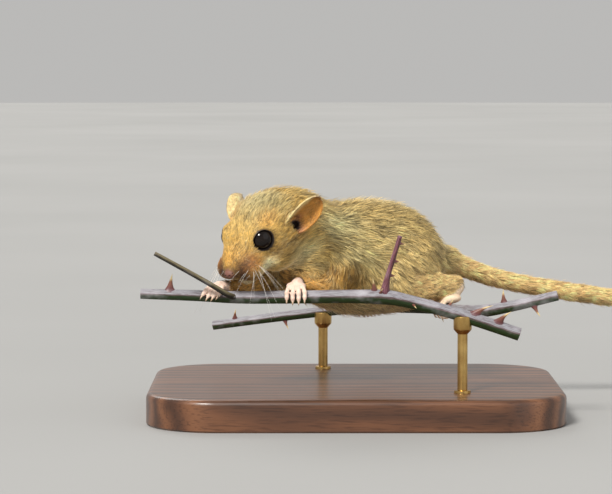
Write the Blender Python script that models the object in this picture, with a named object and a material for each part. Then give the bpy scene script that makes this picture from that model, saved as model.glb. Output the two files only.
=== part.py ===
"""Hazel dormouse at life size, leaning over a bramble stem with its hind feet on a second stem behind it.
The two cut stems stand on a plain display base. The flesh is modelled whole and parted with thin cuts.
"""

import math

import bmesh
import bpy
from mathutils import Matrix, Vector

MM = 0.001
GAP = 0.3

# The design frame: millimetres, X to the viewer's right, Y away from the viewer, Z up, with its zero on the
# axis of the front stem under the muzzle. The world's zero is the middle of the base's underside.
STEM_ZERO = Vector((-11.0, -22.0, 28.0))

# Head: the nose tip, how far the face turns from the viewer and how far it is bowed.
NOSE_TIP = Vector((-16.8, -4.9, 5.0))
HEAD_TURN = math.radians(41)
HEAD_BOW = math.radians(36)

# Behind the nose tip, half width, height above and depth below the line that runs back from the nose tip.
HEAD_SECTIONS = (
    (0.1, 0.9, 0.6, 0.6),
    (0.9, 1.9, 1.5, 1.7),
    (2.4, 3.2, 2.9, 3.4),
    (4.6, 4.3, 4.3, 4.6),
    (7.0, 5.1, 5.3, 5.2),
    (9.5, 6.2, 6.5, 5.8),
    (11.7, 7.4, 7.6, 6.6),
    (14.5, 8.6, 7.9, 7.2),
    (18.0, 9.2, 7.4, 7.8),
    (21.5, 9.1, 6.4, 8.0),
    (24.5, 8.4, 5.2, 7.8),
)
# The box that holds the head's piece: how far it reaches behind the nose tip, in front of it, above and below
# its line, and to each side.
HEAD_CELL_BACK, HEAD_CELL_FRONT = 20.5, 5.0
HEAD_CELL_ABOVE, HEAD_CELL_BELOW, HEAD_CELL_SIDE = 15.0, 7.8, 10.2

EYE_BACK, EYE_SIDE, EYE_UP = 9.6, 4.0, 2.9
EYE_RADIUS = 2.6
LID_THICK, LID_OPENING, LID_DEPTH = 0.38, 2.95, 2.4

EAR_BACK, EAR_SIDE, EAR_UP = 15.9, 7.5, 1.0
EAR_LENGTH, EAR_WIDTH, EAR_WALL, EAR_CUP = 9.0, 6.1, 0.7, 2.1
EAR_SUNK, EAR_WIDEST, EAR_FORWARD, EAR_NARROWING = 1.6, 0.56, 0.75, 0.95
# Each ear's directions, as shares backwards, outwards and up: the way it rises, and the way its cup opens.
LEFT_EAR = ((0.76, 0.56, 0.32), (-0.6, 0.72, -0.15))
RIGHT_EAR = ((0.87, 0.46, 0.17), (-0.5, 0.81, -0.1))

# Torso: centre of each section in the design frame, half width, height above and depth below.
TORSO_SECTIONS = (
    ((-7.4, 6.6, 6.5), 3.4, 4.0, 4.0),
    ((-6.0, 8.0, 7.5), 6.4, 7.0, 7.4),
    ((-3.0, 10.5, 9.0), 8.8, 10.5, 9.6),
    ((2.5, 14.5, 9.0), 10.3, 11.2, 12.4),
    ((8.5, 19.0, 8.2), 11.6, 11.9, 13.9),
    ((14.5, 23.8, 7.6), 12.3, 12.6, 13.8),
    ((20.0, 28.2, 7.0), 12.3, 12.2, 13.0),
    ((24.6, 31.9, 6.2), 10.2, 10.2, 10.6),
    ((27.6, 34.3, 5.6), 6.8, 6.8, 6.8),
    ((29.2, 35.6, 5.4), 3.0, 3.2, 3.0),
)
BODY_HEADING = Vector((-0.78, -0.625, 0.0))

# Tail centreline from inside the rump to the tip, and its radius with the coat.
TAIL_LINE = ((26.0, 33.0, 6.0), (31.0, 36.2, 5.6), (36.5, 38.4, 3.6), (43.0, 40.2, 1.2), (51.0, 42.0, -0.8),
             (60.0, 44.0, -2.4), (70.0, 46.4, -4.0), (79.0, 48.8, -4.9), (86.0, 50.8, -5.0))
TAIL_RADII = (4.8, 3.7, 2.7, 2.5, 2.45, 2.45, 2.4, 2.1, 1.2)

# Limbs: the joints in the design frame and the limb's radius at each.
ARM_LEFT = ((7.0, 9.8, 8.0), (6.2, 6.4, 1.8), (1.2, 4.9, 2.4), (-1.2, 3.8, 2.7))
ARM_RIGHT = ((-5.0, 15.5, 7.0), (-9.6, 9.6, 3.2), (-14.4, 5.2, 2.2), (-16.8, 2.8, 1.9))
ARM_RADII = (5.0, 3.3, 2.2, 1.5)
LEG_LEFT = ((22.6, 22.4, 7.0), (18.6, 14.8, 2.0), (29.5, 20.0, 0.6), (34.2, 22.8, 1.5))
LEG_RIGHT = ((13.6, 33.0, 7.0), (7.2, 29.2, 2.0), (14.6, 37.6, 0.4), (18.2, 42.2, 1.2))
LEG_RADII = (7.8, 5.7, 3.2, 1.9)

# The cells that the body is parted into, in the order they are cut, the arms' before the head's: start and
# end of each box's middle line, its half width and its half height. What is left over is the torso.
ARM_CELLS = (
    ("forearm_left", (4.6, 5.7, 1.9), (-5.0, 2.2, 3.6), 2.7, 2.7),
    ("arm_left", (7.3, 8.8, 7.6), (6.0, 5.0, -3.0), 4.3, 4.4),
    ("forearm_right", (-9.2, 9.8, 3.2), (-20.0, 0.0, 2.2), 2.8, 2.8),
    ("arm_right", (-5.4, 14.8, 7.2), (-11.2, 7.6, -1.4), 4.2, 4.2),
)
BODY_CELLS = (
    ("neck", (-7.3, 6.5, 27.1), (3.1, 14.9, 17.0), 20.0, 11.0),
    ("tail_tip", (66.0, 45.3, -3.4), (92.0, 52.4, -5.6), 8.0, 8.0),
    ("tail_middle", (47.5, 41.2, 0.1), (75.0, 48.0, -4.5), 8.0, 8.0),
    ("tail_root", (31.6, 36.4, 5.4), (60.0, 44.0, -2.4), 7.0, 7.0),
    ("shank_left", (20.6, 15.2, 1.3), (37.5, 24.6, 1.2), 3.5, 3.7),
    ("thigh_left", (23.6, 23.0, 9.0), (17.0, 10.8, -1.4), 6.3, 6.6),
    ("shank_right", (8.8, 30.8, 1.5), (20.2, 44.2, 1.0), 3.5, 3.7),
    ("thigh_right", (14.6, 33.8, 9.0), (2.6, 26.6, -1.4), 6.3, 6.6),
)

# Hands and feet: the limb each grows from, the radius of the stem there, the wrist or heel that it starts at,
# the stem's X where it holds on and the way its digits point. Then its number of digits, their spread, lean
# along the stem, reach round it in degrees below the level and radius, and the radii of its palm.
LEFT_HAND = ("forearm_left", 1.41, (-1.7, 3.1, 2.8), -2.5, (0, -1, 0),
             4, 1.9, -0.1, 20, 0.58, (2.2, 1.7, 0.95))
RIGHT_HAND = ("forearm_right", 1.3, (-17.3, 2.2, 1.9), -19.3, (0, -1, 0),
              4, 1.6, -1.6, 2, 0.54, (2.0, 1.6, 0.85))
LEFT_FOOT = ("shank_left", 1.2, (34.2, 21.6, 0.2), 31.6, (-0.88, -0.45, 0),
             5, 2.3, 0.0, 50, 0.6, (2.5, 2.9, 1.3))
RIGHT_FOOT = ("shank_right", 1.2, (18.0, 41.6, -0.6), 14.4, (-0.63, -0.77, 0),
              5, 2.3, 0.0, 50, 0.6, (2.5, 2.9, 1.3))

# Stems: centreline and radius. The rear one passes behind the front one near its right end.
FRONT_STEM = ((-36.0, 0.0, 0.7), (-24.0, 0.0, 0.3), (-14.0, 0.0, -0.1), (0.0, 0.0, 0.0), (10.0, 0.0, 0.1),
              (17.5, 0.0, -0.1), (22.0, 0.0, -0.9), (29.5, 0.0, -2.8), (36.0, 0.0, -4.7), (46.5, 0.0, -8.2))
FRONT_STEM_RADII = (1.1, 1.2, 1.35, 1.42, 1.45, 1.6, 1.45, 1.35, 1.4, 1.4)
REAR_STEM = ((-22.0, 52.5, -11.4), (-10.0, 50.5, -9.6), (4.0, 47.0, -7.6), (14.8, 40.4, -6.0),
             (23.5, 31.0, -5.2), (30.5, 21.5, -4.6), (35.5, 12.0, -4.1), (39.5, 6.4, -3.6),
             (45.5, 3.9, -2.3), (55.0, 2.4, 0.1))
REAR_STEM_RADII = (1.05, 1.1, 1.15, 1.2, 1.2, 1.2, 1.25, 1.35, 1.2, 1.1)

# Thorns: place along the stem from 0 to 1, turn round it from the viewer's side over the top, length, and
# how far the tip leans along the stem as a share of the length.
FRONT_THORNS = ((0.057, 82, 3.4, 0.15), (0.512, 72, 2.8, -0.2), (0.53, 40, 1.9, 0.3), (0.69, -15, 1.9, 0.4),
                (0.80, 130, 2.2, 0.34), (0.89, 78, 4.4, 0.8), (0.948, 62, 3.8, 0.5))
REAR_THORNS = ((0.05, 70, 2.4, 0.34), (0.15, -80, 2.2, 0.34), (0.27, 110, 2.6, 0.34), (0.55, -100, 2.0, 0.34),
               (0.86, 85, 2.8, 0.2), (0.94, -75, 2.6, 0.34))

# Side shoots of the front stem: where each leaves it, where it ends, and its radii.
SHOOT_LINE = ((17.0, -0.2, 0.2), (17.6, -0.8, 4.0), (18.9, -1.3, 8.4), (20.4, -1.6, 13.4))
SHOOT_RADII = (1.2, 0.62, 0.52, 0.48)
SHOOT_THORNS = ((0.4, -130, 1.5, 0.2), (0.64, -112, 1.4, 0.2), (0.9, -102, 1.3, 0.2))
TWIG_LINE = ((-15.6, -0.6, 0.0), (-17.3, -3.3, 1.0), (-21.4, -4.6, 3.6), (-27.0, -5.2, 6.8),
             (-32.6, -5.6, 9.9))
TWIG_RADII = (0.7, 0.62, 0.56, 0.52, 0.48)

# How finely each part is moulded, and about how many triangles it keeps.
HEAD_VOXEL, BODY_VOXEL, GRIP_VOXEL = 0.42, 0.55, 0.24
HEAD_TRIANGLES, BODY_TRIANGLES, GRIP_TRIANGLES = 2000, 3250, 440

# Display stand, in the world frame.
BASE_LENGTH, BASE_DEPTH, BASE_THICK = 92.0, 72.0, 7.0
BASE_CORNER, BASE_EDGE = 16.0, 1.2
ROD_RADIUS, CUP_RADIUS, CUP_HEIGHT = 1.1, 2.0, 2.2
ROD_SINK = 3.0
FRONT_ROD_X, REAR_ROD_X = 34.0, 4.0


def head_axes():
    """The head's own directions: back along the skull, to its left, and up through its crown."""
    turn_sin, turn_cos = math.sin(HEAD_TURN), math.cos(HEAD_TURN)
    bow_sin, bow_cos = math.sin(HEAD_BOW), math.cos(HEAD_BOW)
    back = Vector((turn_sin * bow_cos, turn_cos * bow_cos, bow_sin))
    left = Vector((turn_cos, -turn_sin, 0.0))
    return back, left, left.cross(back)


HEAD_BACK, HEAD_LEFT, HEAD_UP = head_axes()


def on_head(back, left, up):
    return NOSE_TIP + back * HEAD_BACK + left * HEAD_LEFT + up * HEAD_UP


def material(name, colour, roughness, metallic=0.0):
    found = bpy.data.materials.get(name)
    if found:
        return found
    made = bpy.data.materials.new(name)
    made.use_nodes = True
    shader = made.node_tree.nodes["Principled BSDF"]
    shader.inputs["Base Color"].default_value = (*colour, 1.0)
    shader.inputs["Roughness"].default_value = roughness
    shader.inputs["Metallic"].default_value = metallic
    return made


def golden_fur():
    return material("golden_fur", (0.56, 0.36, 0.14), 0.85)


def bare_skin():
    return material("bare_skin", (0.85, 0.60, 0.50), 0.55)


def dark_eye():
    return material("dark_eye", (0.01, 0.01, 0.01), 0.08)


def bramble_bark():
    return material("bramble_bark", (0.26, 0.22, 0.20), 0.6)


def base_wood():
    return material("base_wood", (0.30, 0.17, 0.09), 0.5)


def rod_brass():
    return material("rod_brass", (0.72, 0.55, 0.28), 0.3, 1.0)


def object_from(name, bm):
    """An object whose mesh is this bmesh, given in design millimetres."""
    bmesh.ops.transform(bm, matrix=Matrix.Scale(MM, 4) @ Matrix.Translation(STEM_ZERO), verts=bm.verts)
    bmesh.ops.recalc_face_normals(bm, faces=bm.faces)
    mesh = bpy.data.meshes.new(name)
    bm.to_mesh(mesh)
    bm.free()
    made = bpy.data.objects.new(name, mesh)
    bpy.context.scene.collection.objects.link(made)
    return made


def discard(made):
    bpy.data.objects.remove(made, do_unlink=True)


def settle(made):
    """Applies the object's modifiers to its mesh."""
    bpy.context.view_layer.update()
    graph = bpy.context.evaluated_depsgraph_get()
    mesh = bpy.data.meshes.new_from_object(made.evaluated_get(graph))
    made.modifiers.clear()
    made.data = mesh
    return made


def skin_rings(rings):
    """A bmesh through these rings of points, each end closed by a fan to its middle."""
    bm = bmesh.new()
    rows = [[bm.verts.new(p) for p in ring] for ring in rings]
    count = len(rows[0])
    for near, far in zip(rows, rows[1:]):
        for k in range(count):
            bm.faces.new((near[k], near[(k + 1) % count], far[(k + 1) % count], far[k]))
    for row in (rows[0], rows[-1]):
        middle = sum((v.co for v in row), Vector()) / count
        hub = bm.verts.new(middle)
        for k in range(count):
            bm.faces.new((row[k], row[(k + 1) % count], hub))
    return bm


def smooth_between(values, steps):
    """Catmull-Rom through the values, tuples of numbers, with this many steps between each pair."""
    rows = [Vector(v) for v in values]
    padded = [rows[0] * 2 - rows[1], *rows, rows[-1] * 2 - rows[-2]]
    found = []
    for i in range(len(rows) - 1):
        a, b, c, d = padded[i:i + 4]
        for k in range(steps):
            t = k / steps
            found.append(0.5 * (2 * b + (c - a) * t + (2 * a - 5 * b + 4 * c - d) * t * t
                                + (3 * b - a - 3 * c + d) * t ** 3))
    found.append(rows[-1])
    return found


def oval(centre, side, up, half_width, above, below, count, fullness=1.0):
    """A ring of points. A fullness under 1 swells the ring towards a rounded square."""
    points = []
    for k in range(count):
        angle = math.tau * k / count
        across = math.copysign(abs(math.cos(angle)) ** fullness, math.cos(angle))
        rise = math.copysign(abs(math.sin(angle)) ** fullness, math.sin(angle))
        rise *= above if rise > 0 else below
        points.append(centre + side * (half_width * across) + up * rise)
    return points


def tube(name, line, radii, sides=12, steps=4, round_ends=True):
    """A round bar along a smooth line, its radius following the given ones, with round or flat ends."""
    rows = smooth_between([(*p, r) for p, r in zip(line, radii)], steps)
    centres = [Vector(row[:3]) for row in rows]
    widths = [max(row[3], 0.02) for row in rows]
    last = len(rows) - 1
    ahead = [(centres[min(i + 1, last)] - centres[max(i - 1, 0)]).normalized() for i in range(len(rows))]
    side = ahead[0].orthogonal().normalized()
    dome = ((0.36, 0.93), (0.7, 0.71), (0.94, 0.34))
    rings = []
    for i, centre in enumerate(centres):
        side = (side - ahead[i] * side.dot(ahead[i])).normalized()
        up = ahead[i].cross(side)
        ring = [(centre, 1.0)]
        if round_ends and i == 0:
            ring = [(centre - ahead[i] * widths[i] * s, c) for s, c in reversed(dome)] + ring
        if round_ends and i == last:
            ring += [(centre + ahead[i] * widths[i] * s, c) for s, c in dome]
        for middle, share in ring:
            r = widths[i] * share
            rings.append(oval(middle, side, up, r, r, r, sides))
    return object_from(name, skin_rings(rings))


def ball(name, centre, radii, axes=None, across=24, along=14):
    """An ellipsoid at centre, its radii along the given axes."""
    axes = axes or (Vector((1, 0, 0)), Vector((0, 1, 0)), Vector((0, 0, 1)))
    bm = bmesh.new()
    bmesh.ops.create_uvsphere(bm, u_segments=across, v_segments=along, radius=1.0)
    turn = Matrix((axes[0] * radii[0], axes[1] * radii[1], axes[2] * radii[2])).transposed().to_4x4()
    bmesh.ops.transform(bm, matrix=Matrix.Translation(centre) @ turn, verts=bm.verts)
    return object_from(name, bm)


def slab(name, centre, axes, half_sizes):
    """A box at centre with these half sizes along its axes, used as a cutter."""
    bm = bmesh.new()
    bmesh.ops.create_cube(bm, size=2.0)
    turn = Matrix([a * s for a, s in zip(axes, half_sizes)]).transposed().to_4x4()
    bmesh.ops.transform(bm, matrix=Matrix.Translation(centre) @ turn, verts=bm.verts)
    return object_from(name, bm)


def largest_surface(made):
    """Keeps only the mesh's largest closed surface."""
    bm = bmesh.new()
    bm.from_mesh(made.data)
    bm.faces.ensure_lookup_table()
    seen, groups = set(), []
    for face in bm.faces:
        if face in seen:
            continue
        group, edge_of = [], [face]
        seen.add(face)
        while edge_of:
            current = edge_of.pop()
            group.append(current)
            for edge in current.edges:
                for other in edge.link_faces:
                    if other not in seen:
                        seen.add(other)
                        edge_of.append(other)
        groups.append(group)
    groups.sort(key=lambda g: sum(f.calc_area() for f in g), reverse=True)
    loose = [f for g in groups[1:] for f in g]
    bmesh.ops.delete(bm, geom=loose, context="FACES")
    bmesh.ops.delete(bm, geom=[v for v in bm.verts if not v.link_faces], context="VERTS")
    bm.to_mesh(made.data)
    bm.free()
    return made


def boolean(made, other, operation):
    """Cuts made with the other mesh, or keeps what lies inside it, and uses the other mesh up."""
    modifier = made.modifiers.new("cut", "BOOLEAN")
    modifier.operation = operation
    modifier.solver = "MANIFOLD"
    modifier.object = other
    settle(made)
    discard(other)
    return made


def union_all(made, others):
    """Joins closed meshes to made by one Boolean union, and keeps its largest closed surface."""
    group = bpy.data.collections.new("joined")
    for other in others:
        group.objects.link(other)
    modifier = made.modifiers.new("join", "BOOLEAN")
    modifier.operation = "UNION"
    modifier.solver = "MANIFOLD"
    modifier.operand_type = "COLLECTION"
    modifier.collection = group
    settle(made)
    for other in others:
        discard(other)
    bpy.data.collections.remove(group)
    return largest_surface(made)


def copy_of(made, name):
    other = bpy.data.objects.new(name, made.data.copy())
    bpy.context.scene.collection.objects.link(other)
    return other


def swollen(made, by):
    """A copy of made, swollen along its normals by this many millimetres."""
    other = copy_of(made, "swollen")
    modifier = other.modifiers.new("swell", "DISPLACE")
    modifier.strength = by * MM
    modifier.mid_level = 0.0
    return settle(other)


def clear_of(made, *others):
    """Cuts made so that it stays a gap away from the other pieces."""
    for other in others:
        boolean(made, swollen(other, GAP), "DIFFERENCE")
    return largest_surface(made)


def thin_to(made, triangles):
    """Brings a mesh down to about this many triangles."""
    now = sum(len(p.vertices) - 2 for p in made.data.polygons)
    if now > triangles:
        modifier = made.modifiers.new("thin", "DECIMATE")
        modifier.ratio = triangles / now
        settle(made)
    return made


def moulded(name, forms, voxel, smoothing):
    """One soft surface round the overlapping forms."""
    bm = bmesh.new()
    for form in forms:
        bm.from_mesh(form.data)
        discard(form)
    mesh = bpy.data.meshes.new(name)
    bm.to_mesh(mesh)
    bm.free()
    made = bpy.data.objects.new(name, mesh)
    bpy.context.scene.collection.objects.link(made)
    remesh = made.modifiers.new("mould", "REMESH")
    remesh.mode = "VOXEL"
    remesh.voxel_size = voxel * MM
    soften = made.modifiers.new("soften", "SMOOTH")
    soften.factor = 0.5
    soften.iterations = smoothing
    return largest_surface(settle(made))


def part_off(name, rest, centre, axes, half_sizes, keep_rest=True):
    """Parts the piece of rest inside a box from it, leaving a thin cut all round. The piece is returned."""
    piece = copy_of(rest, name)
    inner = slab("inner", centre, axes, half_sizes)
    boolean(piece, inner, "INTERSECT")
    if keep_rest:
        outer = slab("outer", centre, axes, [h + GAP for h in half_sizes])
        boolean(rest, outer, "DIFFERENCE")
        largest_surface(rest)
    return largest_surface(piece)


def torso_forms():
    heading = -BODY_HEADING.normalized()
    side = heading.cross(Vector((0, 0, 1))).normalized()
    up = side.cross(heading)
    rows = smooth_between([(*c, w, a, b) for c, w, a, b in TORSO_SECTIONS], 3)
    rings = [oval(Vector(r[:3]), side, up, r[3], r[4], r[5], 32) for r in rows]
    return [object_from("torso_form", skin_rings(rings))]


def head_forms():
    rows = smooth_between(HEAD_SECTIONS, 4)
    rings = [oval(on_head(r[0], 0, 0), HEAD_LEFT, HEAD_UP, r[1], r[2], r[3], 36, 0.86) for r in rows]
    forms = [object_from("skull_form", skin_rings(rings))]
    axes = (HEAD_BACK, HEAD_LEFT, HEAD_UP)
    for side in (1, -1):
        forms.append(ball("whisker_pad", on_head(4.6, 3.2 * side, -1.1), (3.5, 3.0, 2.9), axes))
        forms.append(ball("cheek", on_head(13.5, 4.5 * side, -2.6), (6.8, 3.9, 4.6), axes))
        mound = on_head(EYE_BACK + 0.4, 2.8 * side, EYE_UP - 0.3)
        forms.append(ball("eye_mound", mound, (4.2, 2.6, 3.3), axes))
        forms.append(ball("ear_root", on_head(EAR_BACK - 0.6, 6.4 * side, EAR_UP), (2.6, 2.4, 2.6), axes))
    forms.append(ball("lower_jaw", on_head(6.4, 0, -4.5), (3.6, 2.1, 1.8), axes))
    forms.append(ball("nose_pad", on_head(0.7, 0, 0.1), (1.15, 1.35, 1.05), axes))
    return forms


def neck_form():
    head_end = on_head(20.0, 0, -0.9)
    return tube("neck_form", (head_end, (-2.2, 10.4, 14.6), (2.5, 14.5, 9.6)), (7.9, 8.7, 10.2), sides=28)


def limb_forms():
    made = []
    for line in (ARM_LEFT, ARM_RIGHT):
        made.append(tube("limb_form", line, ARM_RADII, sides=18))
    for line in (LEG_LEFT, LEG_RIGHT):
        made.append(tube("limb_form", line, LEG_RADII, sides=18))
    return made


def eye(side, name):
    centre = on_head(EYE_BACK, EYE_SIDE * side, EYE_UP)
    made = ball(name, centre, (EYE_RADIUS,) * 3, (HEAD_BACK, HEAD_LEFT, HEAD_UP), 18, 10)
    made.data.materials.append(dark_eye())
    return made


def eye_gaze(side):
    """The direction that an eye looks in: outwards, a little forwards and up."""
    return (HEAD_LEFT * side - HEAD_BACK * 0.5 + HEAD_UP * 0.16).normalized()


def lid_shell(side):
    """The lids, a thin shell round the eye before the socket is cut into it."""
    centre = on_head(EYE_BACK, EYE_SIDE * side, EYE_UP)
    return ball("lid_shell", centre, (EYE_RADIUS + GAP + LID_THICK,) * 3, None, 20, 12)


def lid_opening(side):
    """The cutter that opens the lids, drawn out a little towards the inner corner."""
    gaze = eye_gaze(side)
    forward = (-HEAD_BACK - gaze * -HEAD_BACK.dot(gaze)).normalized()
    axes = (forward, gaze.cross(forward), gaze)
    reach = EYE_RADIUS + GAP + LID_THICK
    centre = on_head(EYE_BACK, EYE_SIDE * side, EYE_UP) + gaze * reach
    radii = (LID_OPENING + 0.15, LID_OPENING, LID_DEPTH)
    return ball("lid_opening", centre + forward * 0.15, radii, axes, 18, 8)


def mouth_cutter():
    """The line of the mouth, from corner to corner below the nose."""
    corners = []
    for side in (1, -1):
        corners.append([on_head(7.4, 3.1 * side, -3.9), on_head(5.2, 2.7 * side, -3.95),
                        on_head(3.1, 1.6 * side, -3.4)])
    line = corners[0] + [on_head(2.2, 0, -2.9)] + corners[1][::-1]
    return tube("mouth_cutter", line, (0.2, 0.5, 0.55, 0.5, 0.55, 0.5, 0.2), sides=6, steps=3)


def lip_cleft_cutter():
    return tube("cleft_cutter", (on_head(0.2, 0, -0.6), on_head(1.0, 0, -1.9), on_head(2.0, 0, -2.9)),
                (0.2, 0.28, 0.3), sides=6, steps=2)


def nostril_cutters():
    made = []
    for side in (1, -1):
        line = (on_head(-0.3, 0.45 * side, 0.05), on_head(0.1, 0.62 * side, 0.15),
                on_head(0.5, 1.15 * side, 0.45))
        made.append(tube("nostril", line, (0.25, 0.28, 0.14), sides=6, steps=2))
    return made


def ear(side, name, rises, opens):
    """A thin rounded cup that opens outwards and forwards, its root sunk in the head."""
    root = on_head(EAR_BACK, EAR_SIDE * side, EAR_UP)
    rise = (HEAD_BACK * rises[0] + HEAD_LEFT * (rises[1] * side) + HEAD_UP * rises[2]).normalized()
    opening = HEAD_BACK * opens[0] + HEAD_LEFT * (opens[1] * side) + HEAD_UP * opens[2]
    opening = (opening - rise * opening.dot(rise)).normalized()
    across = rise.cross(opening).normalized() * side
    rows, columns = 10, 10
    bm = bmesh.new()
    faces = {}
    for layer, lift in (("outer", 0.0), ("inner", EAR_WALL)):
        for i in range(rows + 1):
            t = 1 - (1 - i / rows) ** 1.5
            along = (EAR_LENGTH + EAR_SUNK) * t - EAR_SUNK
            taper = (t - EAR_WIDEST) / (1 - EAR_WIDEST)
            if t < EAR_WIDEST:
                taper = (EAR_WIDEST - t) / EAR_WIDEST * EAR_NARROWING
            half = 0.5 * EAR_WIDTH * max(math.sqrt(max(0.0, 1 - taper ** 2)), 0.16)
            for k in range(columns + 1):
                s = -1 + 2 * k / columns
                bend = EAR_CUP * (s * s) * (half / EAR_WIDTH * 2) * (1.15 - 0.65 * t) + 0.8 * t * t
                wall = lift * (1 - 0.25 * t)
                place = root + rise * along + across * (half * s - EAR_FORWARD)
                faces[layer, i, k] = bm.verts.new(place + opening * (bend - 0.9 + wall))
    for i in range(rows):
        for k in range(columns):
            for layer in ("outer", "inner"):
                a, b = faces[layer, i, k], faces[layer, i, k + 1]
                c, d = faces[layer, i + 1, k + 1], faces[layer, i + 1, k]
                bm.faces.new((a, b, c))
                bm.faces.new((a, c, d))
    rim = [(0, k) for k in range(columns)] + [(i, columns) for i in range(rows)]
    rim += [(rows, k) for k in range(columns, 0, -1)] + [(i, 0) for i in range(rows, 0, -1)]
    for here, there in zip(rim, rim[1:] + rim[:1]):
        bm.faces.new((faces["outer", *here], faces["outer", *there],
                      faces["inner", *there], faces["inner", *here]))
    made = object_from(name, bm)
    made.data.materials.append(golden_fur())
    return made


def stem_point(line, share):
    """A point of a smooth line, and the line's direction there."""
    rows = smooth_between(line, 12)
    at = share * (len(rows) - 1)
    i = min(int(at), len(rows) - 2)
    return rows[i].lerp(rows[i + 1], at - i), (rows[i + 1] - rows[i]).normalized()


def nearest_share(line, x):
    """How far along a line, from 0 to 1, it passes this X."""
    rows = smooth_between(line, 12)
    best = min(range(len(rows)), key=lambda i: abs(rows[i].x - x))
    return best / (len(rows) - 1)


def grip(stem_line, stem_radius, wrist, stem_x, outward, digits, spread, lean, reach, digit_radius, palm):
    """A hand or foot laid over a stem: a palm on top and digits that curl down the side facing outward.
    The parts to mould together are returned, and then the claws.
    """
    wrist, outward = Vector(wrist), Vector(outward)
    centre, along = stem_point(stem_line, nearest_share(stem_line, stem_x))
    outward = (outward - along * outward.dot(along)).normalized()
    up = Vector((0, 0, 1))
    up = (up - along * up.dot(along)).normalized()
    out = along.cross(up)
    if out.dot(outward) < 0:
        out = -out
    ring = stem_radius + GAP + digit_radius
    top = centre + up * (ring + palm[2] * 0.45) - out * (palm[1] * 0.35)
    forms = [ball("palm", top, palm, (along, out, up), 18, 12)]
    wrist_radii = [palm[0] * share for share in (0.62, 0.66, 0.6)]
    forms.append(tube("wrist", (wrist, wrist.lerp(top, 0.55), top), wrist_radii, 12))
    claws = []
    for k in range(digits):
        place = k / (digits - 1) * 2 - 1
        turn = reach - 14 * abs(place) ** 1.5
        points = []
        for step in range(6):
            t = step / 5
            angle = math.radians(96 - (96 + turn) * t)
            shift = spread * place * (0.62 + 0.38 * min(1, t * 1.6)) + lean * t
            bulge = ring + 0.35 * math.sin(math.pi * min(1, t * 1.35))
            round_stem = out * math.cos(angle) + up * math.sin(angle)
            points.append(centre + along * shift + round_stem * bulge)
        radii = [digit_radius * f for f in (1.05, 1.12, 0.98, 0.95, 0.98, 0.86)]
        forms.append(tube("digit", points, radii, 8, 3))
        tip, before = points[-1], points[-2]
        ahead = (tip - before).normalized()
        inward = centre - tip
        inward = (inward - along * inward.dot(along)).normalized()
        claw = (tip + ahead * (digit_radius * 0.3) - inward * 0.15,
                tip + ahead * (digit_radius + 0.35) - inward * 0.1,
                tip + ahead * (digit_radius + 0.95) + inward * 0.18)
        claws.append(tube("claw", claw, (0.3, 0.22, 0.06), 6, 1, round_ends=False))
    return forms, claws


def thorn(line, radius, share, turn, length, lean):
    """A broad-based thorn that leans along the stem."""
    centre, along = stem_point(line, share)
    up = Vector((0, 0, 1))
    up = (up - along * up.dot(along)).normalized()
    toward = along.cross(up)
    if toward.y > 0:
        toward = -toward
    out = toward * math.cos(math.radians(turn)) + up * math.sin(math.radians(turn))
    rise = math.sqrt(1.08 - lean * lean)
    points = (centre + out * (radius * 0.45),
              centre + out * (radius + length * 0.42 * rise) + along * (length * 0.18 * lean),
              centre + out * (radius + length * rise) + along * (length * lean))
    rings = []
    widths = ((1.35, 0.75), (0.85, 0.5), (0.45, 0.32), (0.26, 0.22), (0.1, 0.1))
    for k, (long_half, short_half) in enumerate(widths):
        t = k / (len(widths) - 1)
        middle = points[0] * (1 - t) ** 2 + points[1] * (2 * t * (1 - t)) + points[2] * t * t
        size = length / 2.6
        short_half *= size
        rings.append(oval(middle, along, out.cross(along), long_half * size, short_half, short_half, 6))
    return object_from("thorn", skin_rings(rings))


def stem(name, line, radii, thorns, side_shoots=()):
    """A cut length of bramble with its thorns and side shoots."""
    made = tube(name, line, radii, sides=10, steps=2, round_ends=False)
    shoots = list(side_shoots)
    for share, turn, length, lean in thorns:
        at = share * (len(radii) - 1)
        i = min(int(at), len(radii) - 2)
        radius = radii[i] + (radii[i + 1] - radii[i]) * (at - i)
        shoots.append(thorn(line, radius, share, turn, length, lean))
    union_all(made, shoots)
    made.data.materials.append(bramble_bark())
    return made


def side_shoots():
    """The upright shoot with its thorns, and the dead twig."""
    return [tube("shoot", SHOOT_LINE, SHOOT_RADII, 8, 2, round_ends=False),
            tube("twig", TWIG_LINE, TWIG_RADII, 8, 2, round_ends=False),
            *(thorn(SHOOT_LINE, SHOOT_RADII[2], *place) for place in SHOOT_THORNS)]


def stand_base():
    """A rounded plate with an eased edge, its underside at the world's floor."""
    corners = []
    for k in range(24):
        angle = math.tau * (k + 0.5) / 24
        x = math.copysign(BASE_LENGTH / 2 - BASE_CORNER, math.cos(angle)) + BASE_CORNER * math.cos(angle)
        y = math.copysign(BASE_DEPTH / 2 - BASE_CORNER, math.sin(angle)) + BASE_CORNER * math.sin(angle)
        corners.append((x, y))
    rings = []
    for z, inset in ((0.0, 0.0), (BASE_THICK - BASE_EDGE, 0.0),
                     (BASE_THICK - BASE_EDGE * 0.3, BASE_EDGE * 0.3), (BASE_THICK, BASE_EDGE)):
        rings.append([Vector((x - math.copysign(inset, x), y - math.copysign(inset, y), z)) - STEM_ZERO
                      for x, y in corners])
    made = object_from("stand_base", skin_rings(rings))
    made.data.materials.append(base_wood())
    return made


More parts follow.
